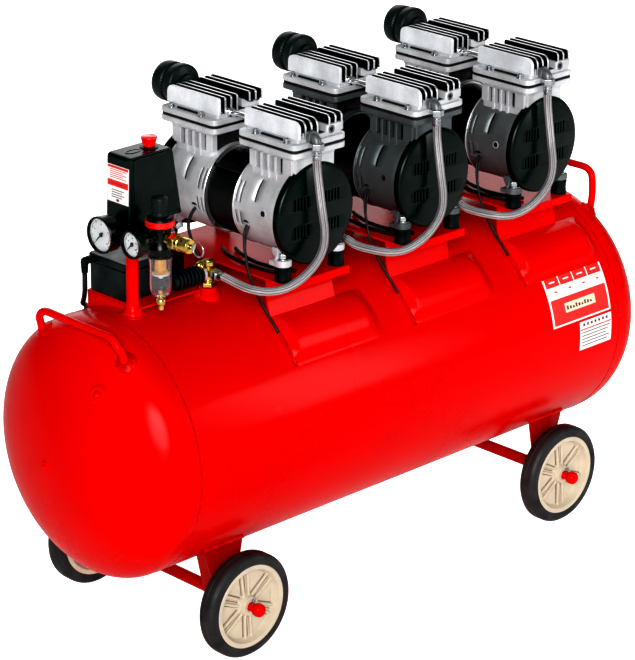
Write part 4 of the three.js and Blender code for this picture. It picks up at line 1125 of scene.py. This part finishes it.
def make_switch():
    """Sloped pressure switch cover with its long screw column, embossed oval, hollow top and rating label."""
    low, high = box_mm("switch_cover")
    top = 699
    outline = rounded([(-414, top), (-339, top + 1), (-324, 607), (-417, 607)], [6, 6, 2.5, 2.5], 5)
    box = Shape().prism(outline, "y", (-38.4, 5.8))
    box.build("switch_body", GLOSS_PLASTIC, bevel=2.4, replaces="switch_cover", slot="black_plastic", segments=4)
    front = Shape()
    face = rounded([(-408, top - 2.5), (-345, top - 1.5), (-332, 611), (-411, 611)], [6, 6, 4, 4], 5)
    front.prism(face, "y", (-40.4, -37.8))
    front.build("switch_front_panel", GLOSS_PLASTIC, bevel=1.1, segments=3)
    base = Shape().prism(rounded(rectangle((-416.6, -324.4), (-40.6, 5.6)), 5), "z", (607.2, 611.5))
    base.build("switch_base", GLOSS_PLASTIC, bevel=0.8)
    column = Shape().rod((-413, -36.6, 612), (-410.4, -36.6, top - 2.6), 3.6, 24)
    column.build("switch_column", GLOSS_PLASTIC, bevel=0.6)
    collar = Shape().lathe([(5.2, top - 0.5), (12.5, top - 0.5), (12.5, top + 1.2), (11, top + 2.2), (6.4, top + 2.2),
                            (5.2, top + 1.6), (5.2, top - 0.5)], "z", (-361.5, -17.5, 0), 36)
    collar.build("knob_collar", PLASTIC)
    oval = [(-389 + 12.5 * math.cos(a), -17 + 7 * math.sin(a)) for a in [2 * math.pi * i / 40 for i in range(40)]]
    inner = [(-389 + 10.8 * math.cos(a), -17 + 5.4 * math.sin(a)) for a in [2 * math.pi * i / 40 for i in range(40)]]
    plate("top_oval", oval, [inner], "z", (top - 0.6, top + 1.0), GLOSS_PLASTIC, 0.3)
    cap = Shape().lathe([(0, top), (3.3, top), (3.3, top + 0.8), (0, top + 0.8)], "z", (-346, -31.5, 0), 24)
    cap.build("top_screw", STEEL, bevel=0.3)
    rows = [(LABEL_RED, -0.8, 0.8 - 0.3 * (i % 2), 0.76 - 0.11 * i, 0.80 - 0.11 * i) for i in range(5)]
    notes = [(LABEL_INK, -0.6, 0.6 - 0.2 * (i % 2), -0.36 - 0.13 * i, -0.32 - 0.13 * i) for i in range(4)]
    make_label("switch_label", (-415.7, -17.5, 660), (0.0326, 0, 1), (42, 50), 0.35,
               [(LABEL_RED, -1, 1, 0.86, 1), *rows, (LABEL_RED, -1, 1, -0.14, 0.2), *notes,
                (LABEL_WHITE, -0.7, 0.5, 0.0, 0.05), (LABEL_INK, -0.12, 0.12, -0.95, -0.82)])
    knob = Shape()
    knob.lathe([(0, top - 7.8), (4, top - 7.8), (4, top + 1.8), (6.8, top + 2.6), (6.9, top + 8), (7.8, top + 9.6),
                (10.2, top + 12.4), (10.9, top + 14), (10.9, top + 15.2), (10.2, top + 16), (0, top + 16)], "z",
               (-361.5, -17.5, 0), 40)
    for i in range(10):
        a = 2 * math.pi * i / 10
        knob.rod((-361.5 + 6.6 * math.cos(a), -17.5 + 6.6 * math.sin(a), top + 2.6),
                 (-361.5 + 9.6 * math.cos(a), -17.5 + 9.6 * math.sin(a), top + 13), 1.0, 8)
    knob.build("pull_knob", RED_PLASTIC, "switch_knob", replaces="switch_knob", slot="red_plastic", smooth=50)


def make_label(name, centre, up, size, lift, marks):
    """A label on the -X side. Each mark is a material and its left, right, low and high edges, from -1 to 1."""
    centre, up = Vector(centre), Vector(up).normalized()
    across = Vector((0, -1, 0))
    out = up.cross(across).normalized()
    out = out if out.x < 0 else -out
    wide, tall = size[0] / 2, size[1] / 2

    def sheet(title, material, left, right, bottom, top, depth):
        ring = [centre + across * wide * u + up * tall * v for u, v in
                rounded(rectangle((left, right), (bottom, top)), 0.04, 3)]
        made = Shape().strip([[p - out * 0.3 for p in ring], [p + out * depth for p in ring]])
        made.build(title, material)

    sheet(name, LABEL_WHITE, -1, 1, -1, 1, lift)
    for i, (material, left, right, bottom, top) in enumerate(marks):
        sheet(f"{name}_mark_{i}", material, left * 0.96, right * 0.96, bottom * 0.97, top * 0.97, lift + 0.12)


def make_gauge(name):
    low, high = box_mm(f"gauge_{name}")
    centre = (low + high) / 2
    radius = (high.y - low.y) / 2
    front = low.x
    depth = high.x - low.x - 3
    body = Shape()
    body.lathe([(0, front + depth), (radius * 0.86, front + depth), (radius * 0.96, front + depth - 1.5),
                (radius * 0.97, front + 5), (radius, front + 4), (radius, front + 0.9), (radius - 0.8, front),
                (radius - 2.2, front), (radius - 2.8, front + 1.2), (radius - 2.8, front + 5), (0, front + 5)], "x",
               (0, centre.y, POST.z), 72)
    body.hexagon((front + depth - 1, centre.y, POST.z), (front + depth + 3, centre.y, POST.z), 13.4, 0)
    body.build(f"gauge_case_{name}", GLOSS_PLASTIC, replaces=f"gauge_{name}", slot="black_plastic")
    face = Shape().lathe([(0, front + 4.7), (radius - 3, front + 4.7), (radius - 3, front + 5.6), (0, front + 5.6)], "x",
                         (0, centre.y, POST.z), 60)
    face.build(f"gauge_dial_{name}", DIAL)
    scale = Shape()
    outer = radius - 4.4
    for i in range(41):
        a = math.radians(-135 + 270 * i / 40)
        long_mark = i % 5 == 0
        for r0, r1, wide in ((outer - (3.4 if long_mark else 1.7), outer, 0.42 if long_mark else 0.22),):
            out = Vector((0, -math.sin(a), math.cos(a)))
            across = Vector((0, math.cos(a), math.sin(a)))
            base = Vector((front + 4.55, centre.y, POST.z))
            ring = [base + out * r + across * w for r, w in ((r0, -wide), (r0, wide), (r1, wide), (r1, -wide))]
            scale.strip([ring, [p + Vector((0.3, 0, 0)) for p in ring]])
    scale.build(f"gauge_scale_{name}", INK)
    for i in range(0, 41, 10):
        a = math.radians(-135 + 270 * i / 40)
        text = bpy.data.curves.new(f"gauge_number_{name}_{i}", "FONT")
        text.body = str(i // 10 * 4)
        text.size = 3.6 * MM
        text.align_x, text.align_y = "CENTER", "CENTER"
        text.extrude = 0.1 * MM
        source = bpy.data.objects.new("number_source", text)
        number = Shape()
        number.bm.from_mesh(bpy.data.meshes.new_from_object(source))
        bpy.data.objects.remove(source)
        reach = outer - 6.6
        place = Vector((front + 4.5, centre.y - reach * math.sin(a), POST.z + reach * math.cos(a)))
        turn = Matrix(((0, 0, -1), (-1, 0, 0), (0, 1, 0))).to_4x4()
        number.moved(Matrix.Translation(place) @ turn @ Matrix.Scale(1 / MM, 4))
        number.build(f"gauge_number_{name}_{i}", INK)
    band = Shape()
    for first, last in ((72, 135),):
        steps = 12
        ring_in, ring_out = [], []
        for i in range(steps + 1):
            a = math.radians(first + (last - first) * i / steps)
            for ring, r in ((ring_in, outer - 5.4), (ring_out, outer - 4.4)):
                ring.append(Vector((front + 4.58, centre.y - r * math.sin(a), POST.z + r * math.cos(a))))
        outline = ring_in + ring_out[::-1]
        band.strip([outline, [p + Vector((0.2, 0, 0)) for p in outline]])
    band.build(f"gauge_band_{name}", LABEL_RED)
    glass = Shape().lathe([(0, front + 0.7), (radius - 2.6, front + 0.9), (radius - 2.6, front + 1.4), (0, front + 1.2)],
                          "x", (0, centre.y, POST.z), 48)
    glass.build(f"gauge_glass_{name}", GLASS)
    body_name = f"needle_{name}"
    pivot = Vector((front + 3.5, centre.y, POST.z))
    length = radius * 0.56
    a = math.radians(-135)
    out, across = Vector((0, -math.sin(a), math.cos(a))), Vector((0, math.cos(a), math.sin(a)))
    hand = [(-length * 0.35, -1.15), (-length * 0.35, 1.15), (0, 1.15), (length * 0.99, 0.35), (length * 0.99, -0.35),
            (0, -1.15)]
    ring = [pivot + out * r + across * w - Vector((0.35, 0, 0)) for r, w in hand]
    needle = Shape().strip([ring, [p + Vector((0.7, 0, 0)) for p in ring]])
    needle.lathe([(0, pivot.x - 0.95), (2.2, pivot.x - 0.95), (2.9, pivot.x - 0.4), (2.9, pivot.x + 0.6),
                  (1.4, pivot.x + 0.6), (1.4, pivot.x + 1.1), (0, pivot.x + 1.1)], "x", (0, pivot.y, pivot.z), 28)
    needle.build(f"gauge_needle_{name}", INK, body_name, replaces=body_name, slot="black_metal")


def make_regulator():
    x, y = REGULATOR.x, REGULATOR.y
    centre = (x, y, 0)
    body = Shape()
    body.lathe([(0, 571.2), (16.4, 571.2), (16.5, 573), (15.6, 574.4), (16.5, 575.8), (16.5, 583), (15.6, 586),
                (14.4, 588), (14.4, 608), (15.4, 611), (19.2, 613.2), (19.6, 614), (0, 614)], "z", centre, 48)
    body.lathe([(0, 621.4), (18, 621.4), (17.4, 623), (15.6, 625.6), (14.4, 626), (0, 626)], "z", centre, 48)
    body.rod((x - 10, y, POST.z), (x - 28, y, POST.z), 7, 28)
    body.rod((x - 8, y, POST.z), (x - 16, y, POST.z), 9.6, 32, 8.6)
    for i in range(20):
        a = 2 * math.pi * i / 20
        u, w = 16 * math.cos(a), 16 * math.sin(a)
        body.rod((x + u, y + w, 576.4), (x + u, y + w, 582.4), 0.9, 8)
    body.build("regulator_housing", BLACK_METAL, bevel=0.4, replaces="regulator_body", slot="black_plastic")
    ring = Shape().lathe([(14, 613.4), (19.4, 613.4), (20, 614.2), (20, 620.8), (19.4, 621.6), (14, 621.6), (14, 613.4)],
                         "z", centre, 56)
    for i in range(24):
        a = 2 * math.pi * i / 24
        u, w = 19.4 * math.cos(a), 19.4 * math.sin(a)
        ring.rod((x + u, y + w, 614), (x + u, y + w, 621), 0.55, 6)
    ring.build("regulator_ring", RED_PLASTIC)
    nickel = Shape()
    nickel.hexagon((x + 12, y, POST.z), (x + 21, y, POST.z), 12.4, 0)
    nickel.build("regulator_plug", STEEL, bevel=0.3)
    knob = Shape().lathe([(0, 626.4), (10, 626.4), (10.5, 627), (10.6, 630.5), (10.2, 631.4), (10.4, 632.4), (10.9, 649),
                          (10.2, 651.4), (8.4, 652.6), (6.6, 652.9), (6, 652.4), (0, 652.2)], "z", centre, 48)
    for i in range(18):
        a = 2 * math.pi * i / 18
        u, w = 10.3 * math.cos(a), 10.3 * math.sin(a)
        knob.rod((x + u, y + w, 633), (x + u, y + w, 649.5), 0.62, 8)
    knob.build("regulator_grip", PLASTIC, "regulator_knob", replaces="regulator_knob", slot="black_plastic")
    outside = [(14.4, 570.5), (15.8, 570.5), (15.8, 566), (14.8, 564), (14.8, 532), (14, 524), (12, 518), (8, 515),
               (4.4, 514.2), (4.4, 516.6), (7.4, 517.4), (10.8, 520), (12.3, 525), (12.9, 533), (12.9, 566), (14.4, 570.5)]
    Shape().lathe(outside, "z", centre, 56).build("bowl_shell", BOWL, replaces="filter_bowl", slot="clear_plastic")
    inside = Shape().lathe([(0, 549), (9.4, 549), (9.4, 551), (7.6, 552), (7.6, 568), (0, 568)], "z", centre, 40)
    inside.build("bowl_filter", FILTER)
    vane = Shape().lathe([(0, 541), (3, 541), (3, 545), (11.6, 546), (11.6, 548.4), (0, 548.8)], "z", centre, 40)
    vane.build("bowl_baffle", LABEL_WHITE)
    drain = Shape()
    drain.lathe([(0, 496), (3.4, 496), (4, 496.8), (4, 503), (0, 503)], "z", centre, 28)
    drain.lathe([(0, 503.4), (6, 503.4), (6.5, 504.2), (6.5, 510.4), (6, 511.2), (3.1, 511.8), (3.1, 522), (0, 522)], "z",
                centre, 36)
    for i in range(16):
        a = 2 * math.pi * i / 16
        u, w = 6.15 * math.cos(a), 6.15 * math.sin(a)
        drain.rod((x + u, y + w, 504.4), (x + u, y + w, 510.4), 0.35, 6)
    drain.build("drain_screw", BRASS, "bowl_drain", replaces="bowl_drain", slot="brass")


def make_safety_valve():
    x, z = POST.x, POST.z
    first = REGULATOR.y - 15
    valve = Shape()
    valve.rod((x, first - 0.2, z), (x, first - 12, z), 8, 28)
    valve.hexagon((x, first - 9, z), (x, first - 21, z), 21.5, math.pi / 6)
    valve.lathe([(3.5, first - 21), (10.2, first - 21), (10.5, first - 22), (10.5, first - 26), (9.4, first - 27),
                 (9.4, first - 28.4), (10.5, first - 29.4), (10.5, first - 41), (9.4, first - 43.6), (6, first - 44),
                 (3.5, first - 44), (3.5, first - 21)], "y", (x, 0, z), 40)
    valve.build("relief_body", BRASS, bevel=0.3, replaces="safety_valve", slot="brass")
    for i in range(4):
        a = math.radians(45 + 90 * i)
        hole = Shape().rod((x + 10.1 * math.cos(a), first - 34, z + 10.1 * math.sin(a)),
                           (x + 10.6 * math.cos(a), first - 34, z + 10.6 * math.sin(a)), 1.7, 16)
        hole.build(f"relief_vent_{i}", INK)
    pull = Shape()
    pull.rod((x, first - 31, z), (x, first - 50, z), 2.5, 20)
    pull.lathe([(0, first - 48), (3.2, first - 48), (3.4, first - 49), (0, first - 50)], "y", (x, 0, z), 20)
    pull.torus((x, first - 58.5, z), 9.95, 1.05, "x", 48, 12)
    pull.build("relief_pull", STEEL, "safety_ring", replaces="safety_ring", slot="bare_steel")


def make_check_valve():
    x, y, z = VALVE
    valve = Shape()
    valve.hexagon((x, y, 486.5), (x, y, 493.6), 19.6, 0.2)
    valve.rod((x, y, 493), (x, y, 518), 8, 36)
    valve.torus((x, y, 496.5), 7.8, 0.8, "z", 36, 10)
    valve.hexagon((x, y, 516.6), (x, y, 523.4), 17.8, 0.5)
    valve.lathe([(0, 523), (7.4, 523), (7, 524.3), (4, 524.9), (0, 524.9)], "z", (x, y, 0), 32)
    valve.rod((x, y, z), (x, -40.6, z), 6.9, 32)
    valve.rod((x, y, z), (x - 12, y, z), 6.4, 28)
    valve.rod((x - 2, y, 512), (x - 14, y - 2, 519), 4.6, 24)
    valve.hexagon((x - 11, y - 1.6, 517.2), (x - 18, y - 2.8, 521.3), 12.6, 0.4)
    valve.ball((x - 19, y - 3, 521.8), 4.6, 20)
    valve.build("check_valve_body", BRASS, bevel=0.4, replaces="check_valve", slot="brass")
    muffler = Shape().rod((x - 13, y, z), (x - 64, y, z), 10.4, 40)
    for i in range(7):
        at = x - 16 - i * 6.6
        muffler.lathe([(10, at), (13, at - 0.4), (13.4, at - 1), (13.4, at - 2.6), (13, at - 3.2), (10, at - 3.6), (10, at)],
                      "x", (0, y, z), 44)
    muffler.lathe([(0, x - 66), (9, x - 65.8), (10.6, x - 64.6), (10.9, x - 62), (0, x - 62)], "x", (0, y, z), 40)
    muffler.build("silencer", PLASTIC)
    end = Shape().rod((x - 9.5, y, z), (x - 14, y, z), 10.8, 36, 10.8)
    end.build("silencer_end", CAST, bevel=0.8)


def make_control_box():
    low, high = box_mm("control_box")
    x, y, z = (low.x, high.x), (low.y, high.y), (low.z, high.z)
    body = Shape().prism(rounded(rectangle((x[0] + 1.2, x[1] - 1.2), (y[0] + 1.2, y[1] - 1.2)), 5), "z", (z[0], z[1] - 12))
    body.build("box_body", PLASTIC, bevel=1.0, replaces="control_box", slot="black_plastic")
    lid = Shape().prism(rounded(rectangle(x, y), 6), "z", (z[1] - 11.4, z[1]))
    lid.build("box_lid", PLASTIC, bevel=2.0, segments=3)
    screws = Shape()
    for u in (x[0] + 8, x[1] - 8):
        for v in (y[0] + 8, y[1] - 8):
            screws.lathe([(0, z[1] - 2), (3.4, z[1] - 2), (3.4, z[1] - 0.2), (0, z[1] - 0.1)], "z", (u, v, 0), 20)
    screws.build("box_screws", STEEL, bevel=0.2)
    gland = Shape()
    gland.rod((x[0] - 0.3, 62, 533), (-404, 62, 533), 5.4, 28)
    gland.hexagon((x[0] - 0.4, 62, 533), (x[0] - 5, 62, 533), 10.6, 0)
    gland.ball((-408.4, 62, 533), 5.3, 24)
    gland.rod((-409, 62, 535), (-409, 62, 516.2), 5.3, 28, 4.0)
    for i in range(6):
        gland.torus((-409, 62, 531 - i * 2.8), 5.1 - i * 0.2, 0.7, "z", 28, 8)
    gland.build("cord_gland", RUBBER, replaces="cord_relief", slot="black_plastic")


def make_drain_cock():
    top = TANK_LOW.z - 0.3
    cock = Shape()
    cock.hexagon((0, 0, top), (0, 0, top - 7), 19, 0.3)
    cock.lathe([(0, top + 5.8), (5.2, top + 5.8), (5.8, top + 5), (5.8, top - 7), (0, top - 7)], "z", (0, 0, 0), 28)
    cock.lathe([(0, top - 13.6), (4.6, top - 13.6), (5.8, top - 12.4), (5.8, top - 6), (0, top - 6)], "z", (0, 0, 0), 28)
    wings = rounded([(-14, top - 20), (-4, top - 15), (4, top - 15), (14, top - 20), (14, top - 12), (6, top - 10),
                     (-6, top - 10), (-14, top - 12)], [3, 1, 1, 3, 3, 1, 1, 3], 4)
    cock.prism(wings, "y", (-1.4, 1.4))
    cock.build("drain_wing_screw", BRASS, "drain_cock", bevel=0.4, replaces="drain_cock", slot="brass")


def make_tank_label(name, x, heights, rows):
    """A label laid on the round front of the tank between two heights, with plain blocks and lines on it."""
    angles = [math.degrees(math.acos((z - TANK_Z) / TANK_RADIUS)) for z in heights]

    def sheet(title, material, u, v, lift):
        left, right = (x[0] + (x[1] - x[0]) * t for t in u)
        first, last = (angles[0] + (angles[1] - angles[0]) * t for t in v)
        rings = []
        for i in range(13):
            a = first + (last - first) * i / 12
            skin = [(left, 0.05), (right, 0.05), (right, lift), (left, lift)]
            rings.append([on_tank(along, -a, out) for along, out in skin])
        Shape().strip(rings).build(title, material)

    sheet(name, LABEL_WHITE, (0, 1), (0, 1), 0.35)
    for i, (material, u, v) in enumerate(rows):
        sheet(f"{name}_mark_{i}", material, u, v, 0.5)


# ---- power cord ----
CORD_RADIUS = 3.5
COIL = Vector((-173, 262, 0))
COIL_INNER = 40
CORD_ROUTE = [(-409, 62, 514.7), (-409, 62.2, 503), (-408, 63.8, 490), (-405, 69.5, 477.5), (-399.5, 79, 467),
              (-389, 90, 459.5), (-376, 102.5, 452), (-361, 118.5, 441.5), (-346, 137, 426.5),
              (-333, 157, 402.5), (-320, 176, 369), (-310, 190, 328), (-303, 198, 276), (-298, 202.5, 218),
              (-292, 205, 160), (-284, 205.5, 105), (-273, 206.5, 63), (-262, 212, 42), (-249, 223, 22),
              (-239, 240, 8.8), (-234.9, 261.5, 3.9)]
PLUG = Vector((COIL.x + 73, COIL.y - 26, 13))


def coil_point(turns):
    """Where the cord lies after so many turns: three inward, then back out over them and down to the plug."""
    pitch = 2 * CORD_RADIUS + 0.1
    low, high = CORD_RADIUS + 0.3, CORD_RADIUS * 3 + 0.4
    ring = min(int(turns), 2)
    late = math.pi * max(0.0, turns - int(turns) - 0.5)
    radius, height = COIL_INNER + pitch * (2 - ring), low
    if turns < 2:
        radius -= pitch * (1 - math.cos(late))
        radius += 7.5 * (1 - ease(turns / 0.4))
    elif turns < 3:
        height += (high - low) * math.sin(late)
    else:
        height = high
        radius += pitch * (ease((turns - 3) / 0.5) + ease((turns - 4) / 0.2))
        leaving = ease((turns - 4.2) / 0.3) * math.radians(82)
        radius += 8.3 * math.sin(leaving)
        height = low + (high - low) * math.cos(leaving)
    angle = math.pi - 2 * math.pi * turns
    return COIL + Vector((radius * math.cos(angle), radius * math.sin(angle), height))


def make_cord():
    per_turn = 16
    coiled = [coil_point(i / per_turn) for i in range(1, int(4.5 * per_turn) + 1)]
    line = spline([*CORD_ROUTE, *coiled], 5)
    curve = bpy.data.curves.new("power_cord", "CURVE")
    curve.dimensions = "3D"
    curve.bevel_depth = CORD_RADIUS * MM
    curve.bevel_resolution = 5
    path = curve.splines.new("POLY")
    path.points.add(len(line) - 1)
    for point, place in zip(path.points, line):
        point.co = (*(Vector(place) * MM), 1)
    curve.materials.append(CORD)
    cord = bpy.data.objects.new("power_cord", curve)
    bpy.context.scene.collection.objects.link(cord)
    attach(cord, ROOT)
    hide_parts("cord_run", "cord_coil")
    make_plug(line[-1])


def make_plug(start):
    """A moulded two-pin plug with a ribbed relief, lying on its side by the coil."""
    x, y, z = PLUG
    relief = Shape()
    neck = spline([Vector(start) + Vector((0, 1.5, 0)), Vector((x - 9, y + 14, 7.4)), Vector((x - 3, y + 4, 10.6)),
                   Vector((x, y - 3, 12.4))], 8)
    sizes = [4.1 + 2.6 * i / (len(neck) - 1) + (0.5 if i % 4 < 2 else 0) for i in range(len(neck))]
    relief.sweep(neck, sizes, 20)
    boot = relief.build("plug_relief", RUBBER, smooth=25)
    body = Shape().prism(rounded([(x - 8, y), (x + 8, y), (x + 13.6, y - 10), (x + 13.6, y - 34), (x - 13.6, y - 34),
                                  (x - 13.6, y - 10)], [5, 5, 6, 3, 3, 6], 5), "z", (z - 9, z + 9))
    shell = body.build("plug_body", RUBBER, bevel=3, replaces="cord_plug", slot="black_plastic", segments=4)
    rim = Shape().prism(rounded(rectangle((x - 13.9, x + 13.9), (z - 10.8, z + 10.8)), 5), "y", (y - 35, y - 31.5))
    face = rim.build("plug_face", RUBBER, bevel=0.8)
    pins = Shape()
    for u in (-9.5, 9.5):
        pins.rod((x + u, y - 34, z), (x + u, y - 52.6, z), 2.4, 24)
        pins.ball((x + u, y - 52.4, z), 2.3, 20, 0.7, "y")
    made = pins.build("plug_pins", BRASS)
    return [boot, shell, face, made]


# ---- the object ----
add_camera((-2716.3, -2716.3, 1803.1), -44.67, 20.79, 0.54, 161.76)
add_studio()
make_cord()
make_tank()
for side in (-1, 1):
    make_handle(side)
    make_wheel_frame(side)
for number in (1, 2, 3, 4):
    make_wheel(number)
for unit in UNITS:
    make_motor_bracket(unit)
    make_motor_shell(unit)
    make_rotor(unit)
    make_heads(unit)
    make_intake_filter(unit)
    make_hose(unit)
    for end in ENDS:
        make_crankcase(end, unit)
        make_fan_cover(end, unit)
make_bracket()
make_control_box()
make_manifold()
make_switch()
for gauge in ("tank", "line"):
    make_gauge(gauge)
make_regulator()
make_safety_valve()
make_check_valve()
make_drain_cock()
make_tank_label("spec_label", (276, 405), (394, 324), [
    *[(LABEL_RED, (0.03 + 0.24 * i, 0.25 + 0.24 * i), (0.035, 0.22)) for i in range(4)],
    *[(LABEL_WHITE, (0.09 + 0.24 * i, 0.19 + 0.24 * i), (0.11, 0.14)) for i in range(4)],
    *[(LABEL_RED, (0.14 + 0.24 * i, 0.18 + 0.24 * i), (0.31, 0.34)) for i in range(4)],
    (LABEL_RED, (0.03, 0.97), (0.46, 0.965)), (LABEL_CREAM, (0.24, 0.76), (0.58, 0.77)),
    *[(LABEL_INK, (0.27 + 0.05 * i, 0.30 + 0.05 * i), (0.64 + 0.02 * (i % 3), 0.72)) for i in range(9)]])
make_tank_label("notice_label", (334, 405), (320, 276), [
    *[(LABEL_INK, (0.10 + 0.12 * i, 0.16 + 0.12 * i), (0.08, 0.17)) for i in range(7)],
    (LABEL_RED, (0.02, 0.98), (0.26, 0.30)),
    *[(LABEL_INK, (0.06, 0.94 - 0.06 * (i % 3)), (0.38 + 0.115 * i, 0.41 + 0.115 * i)) for i in range(5)]])
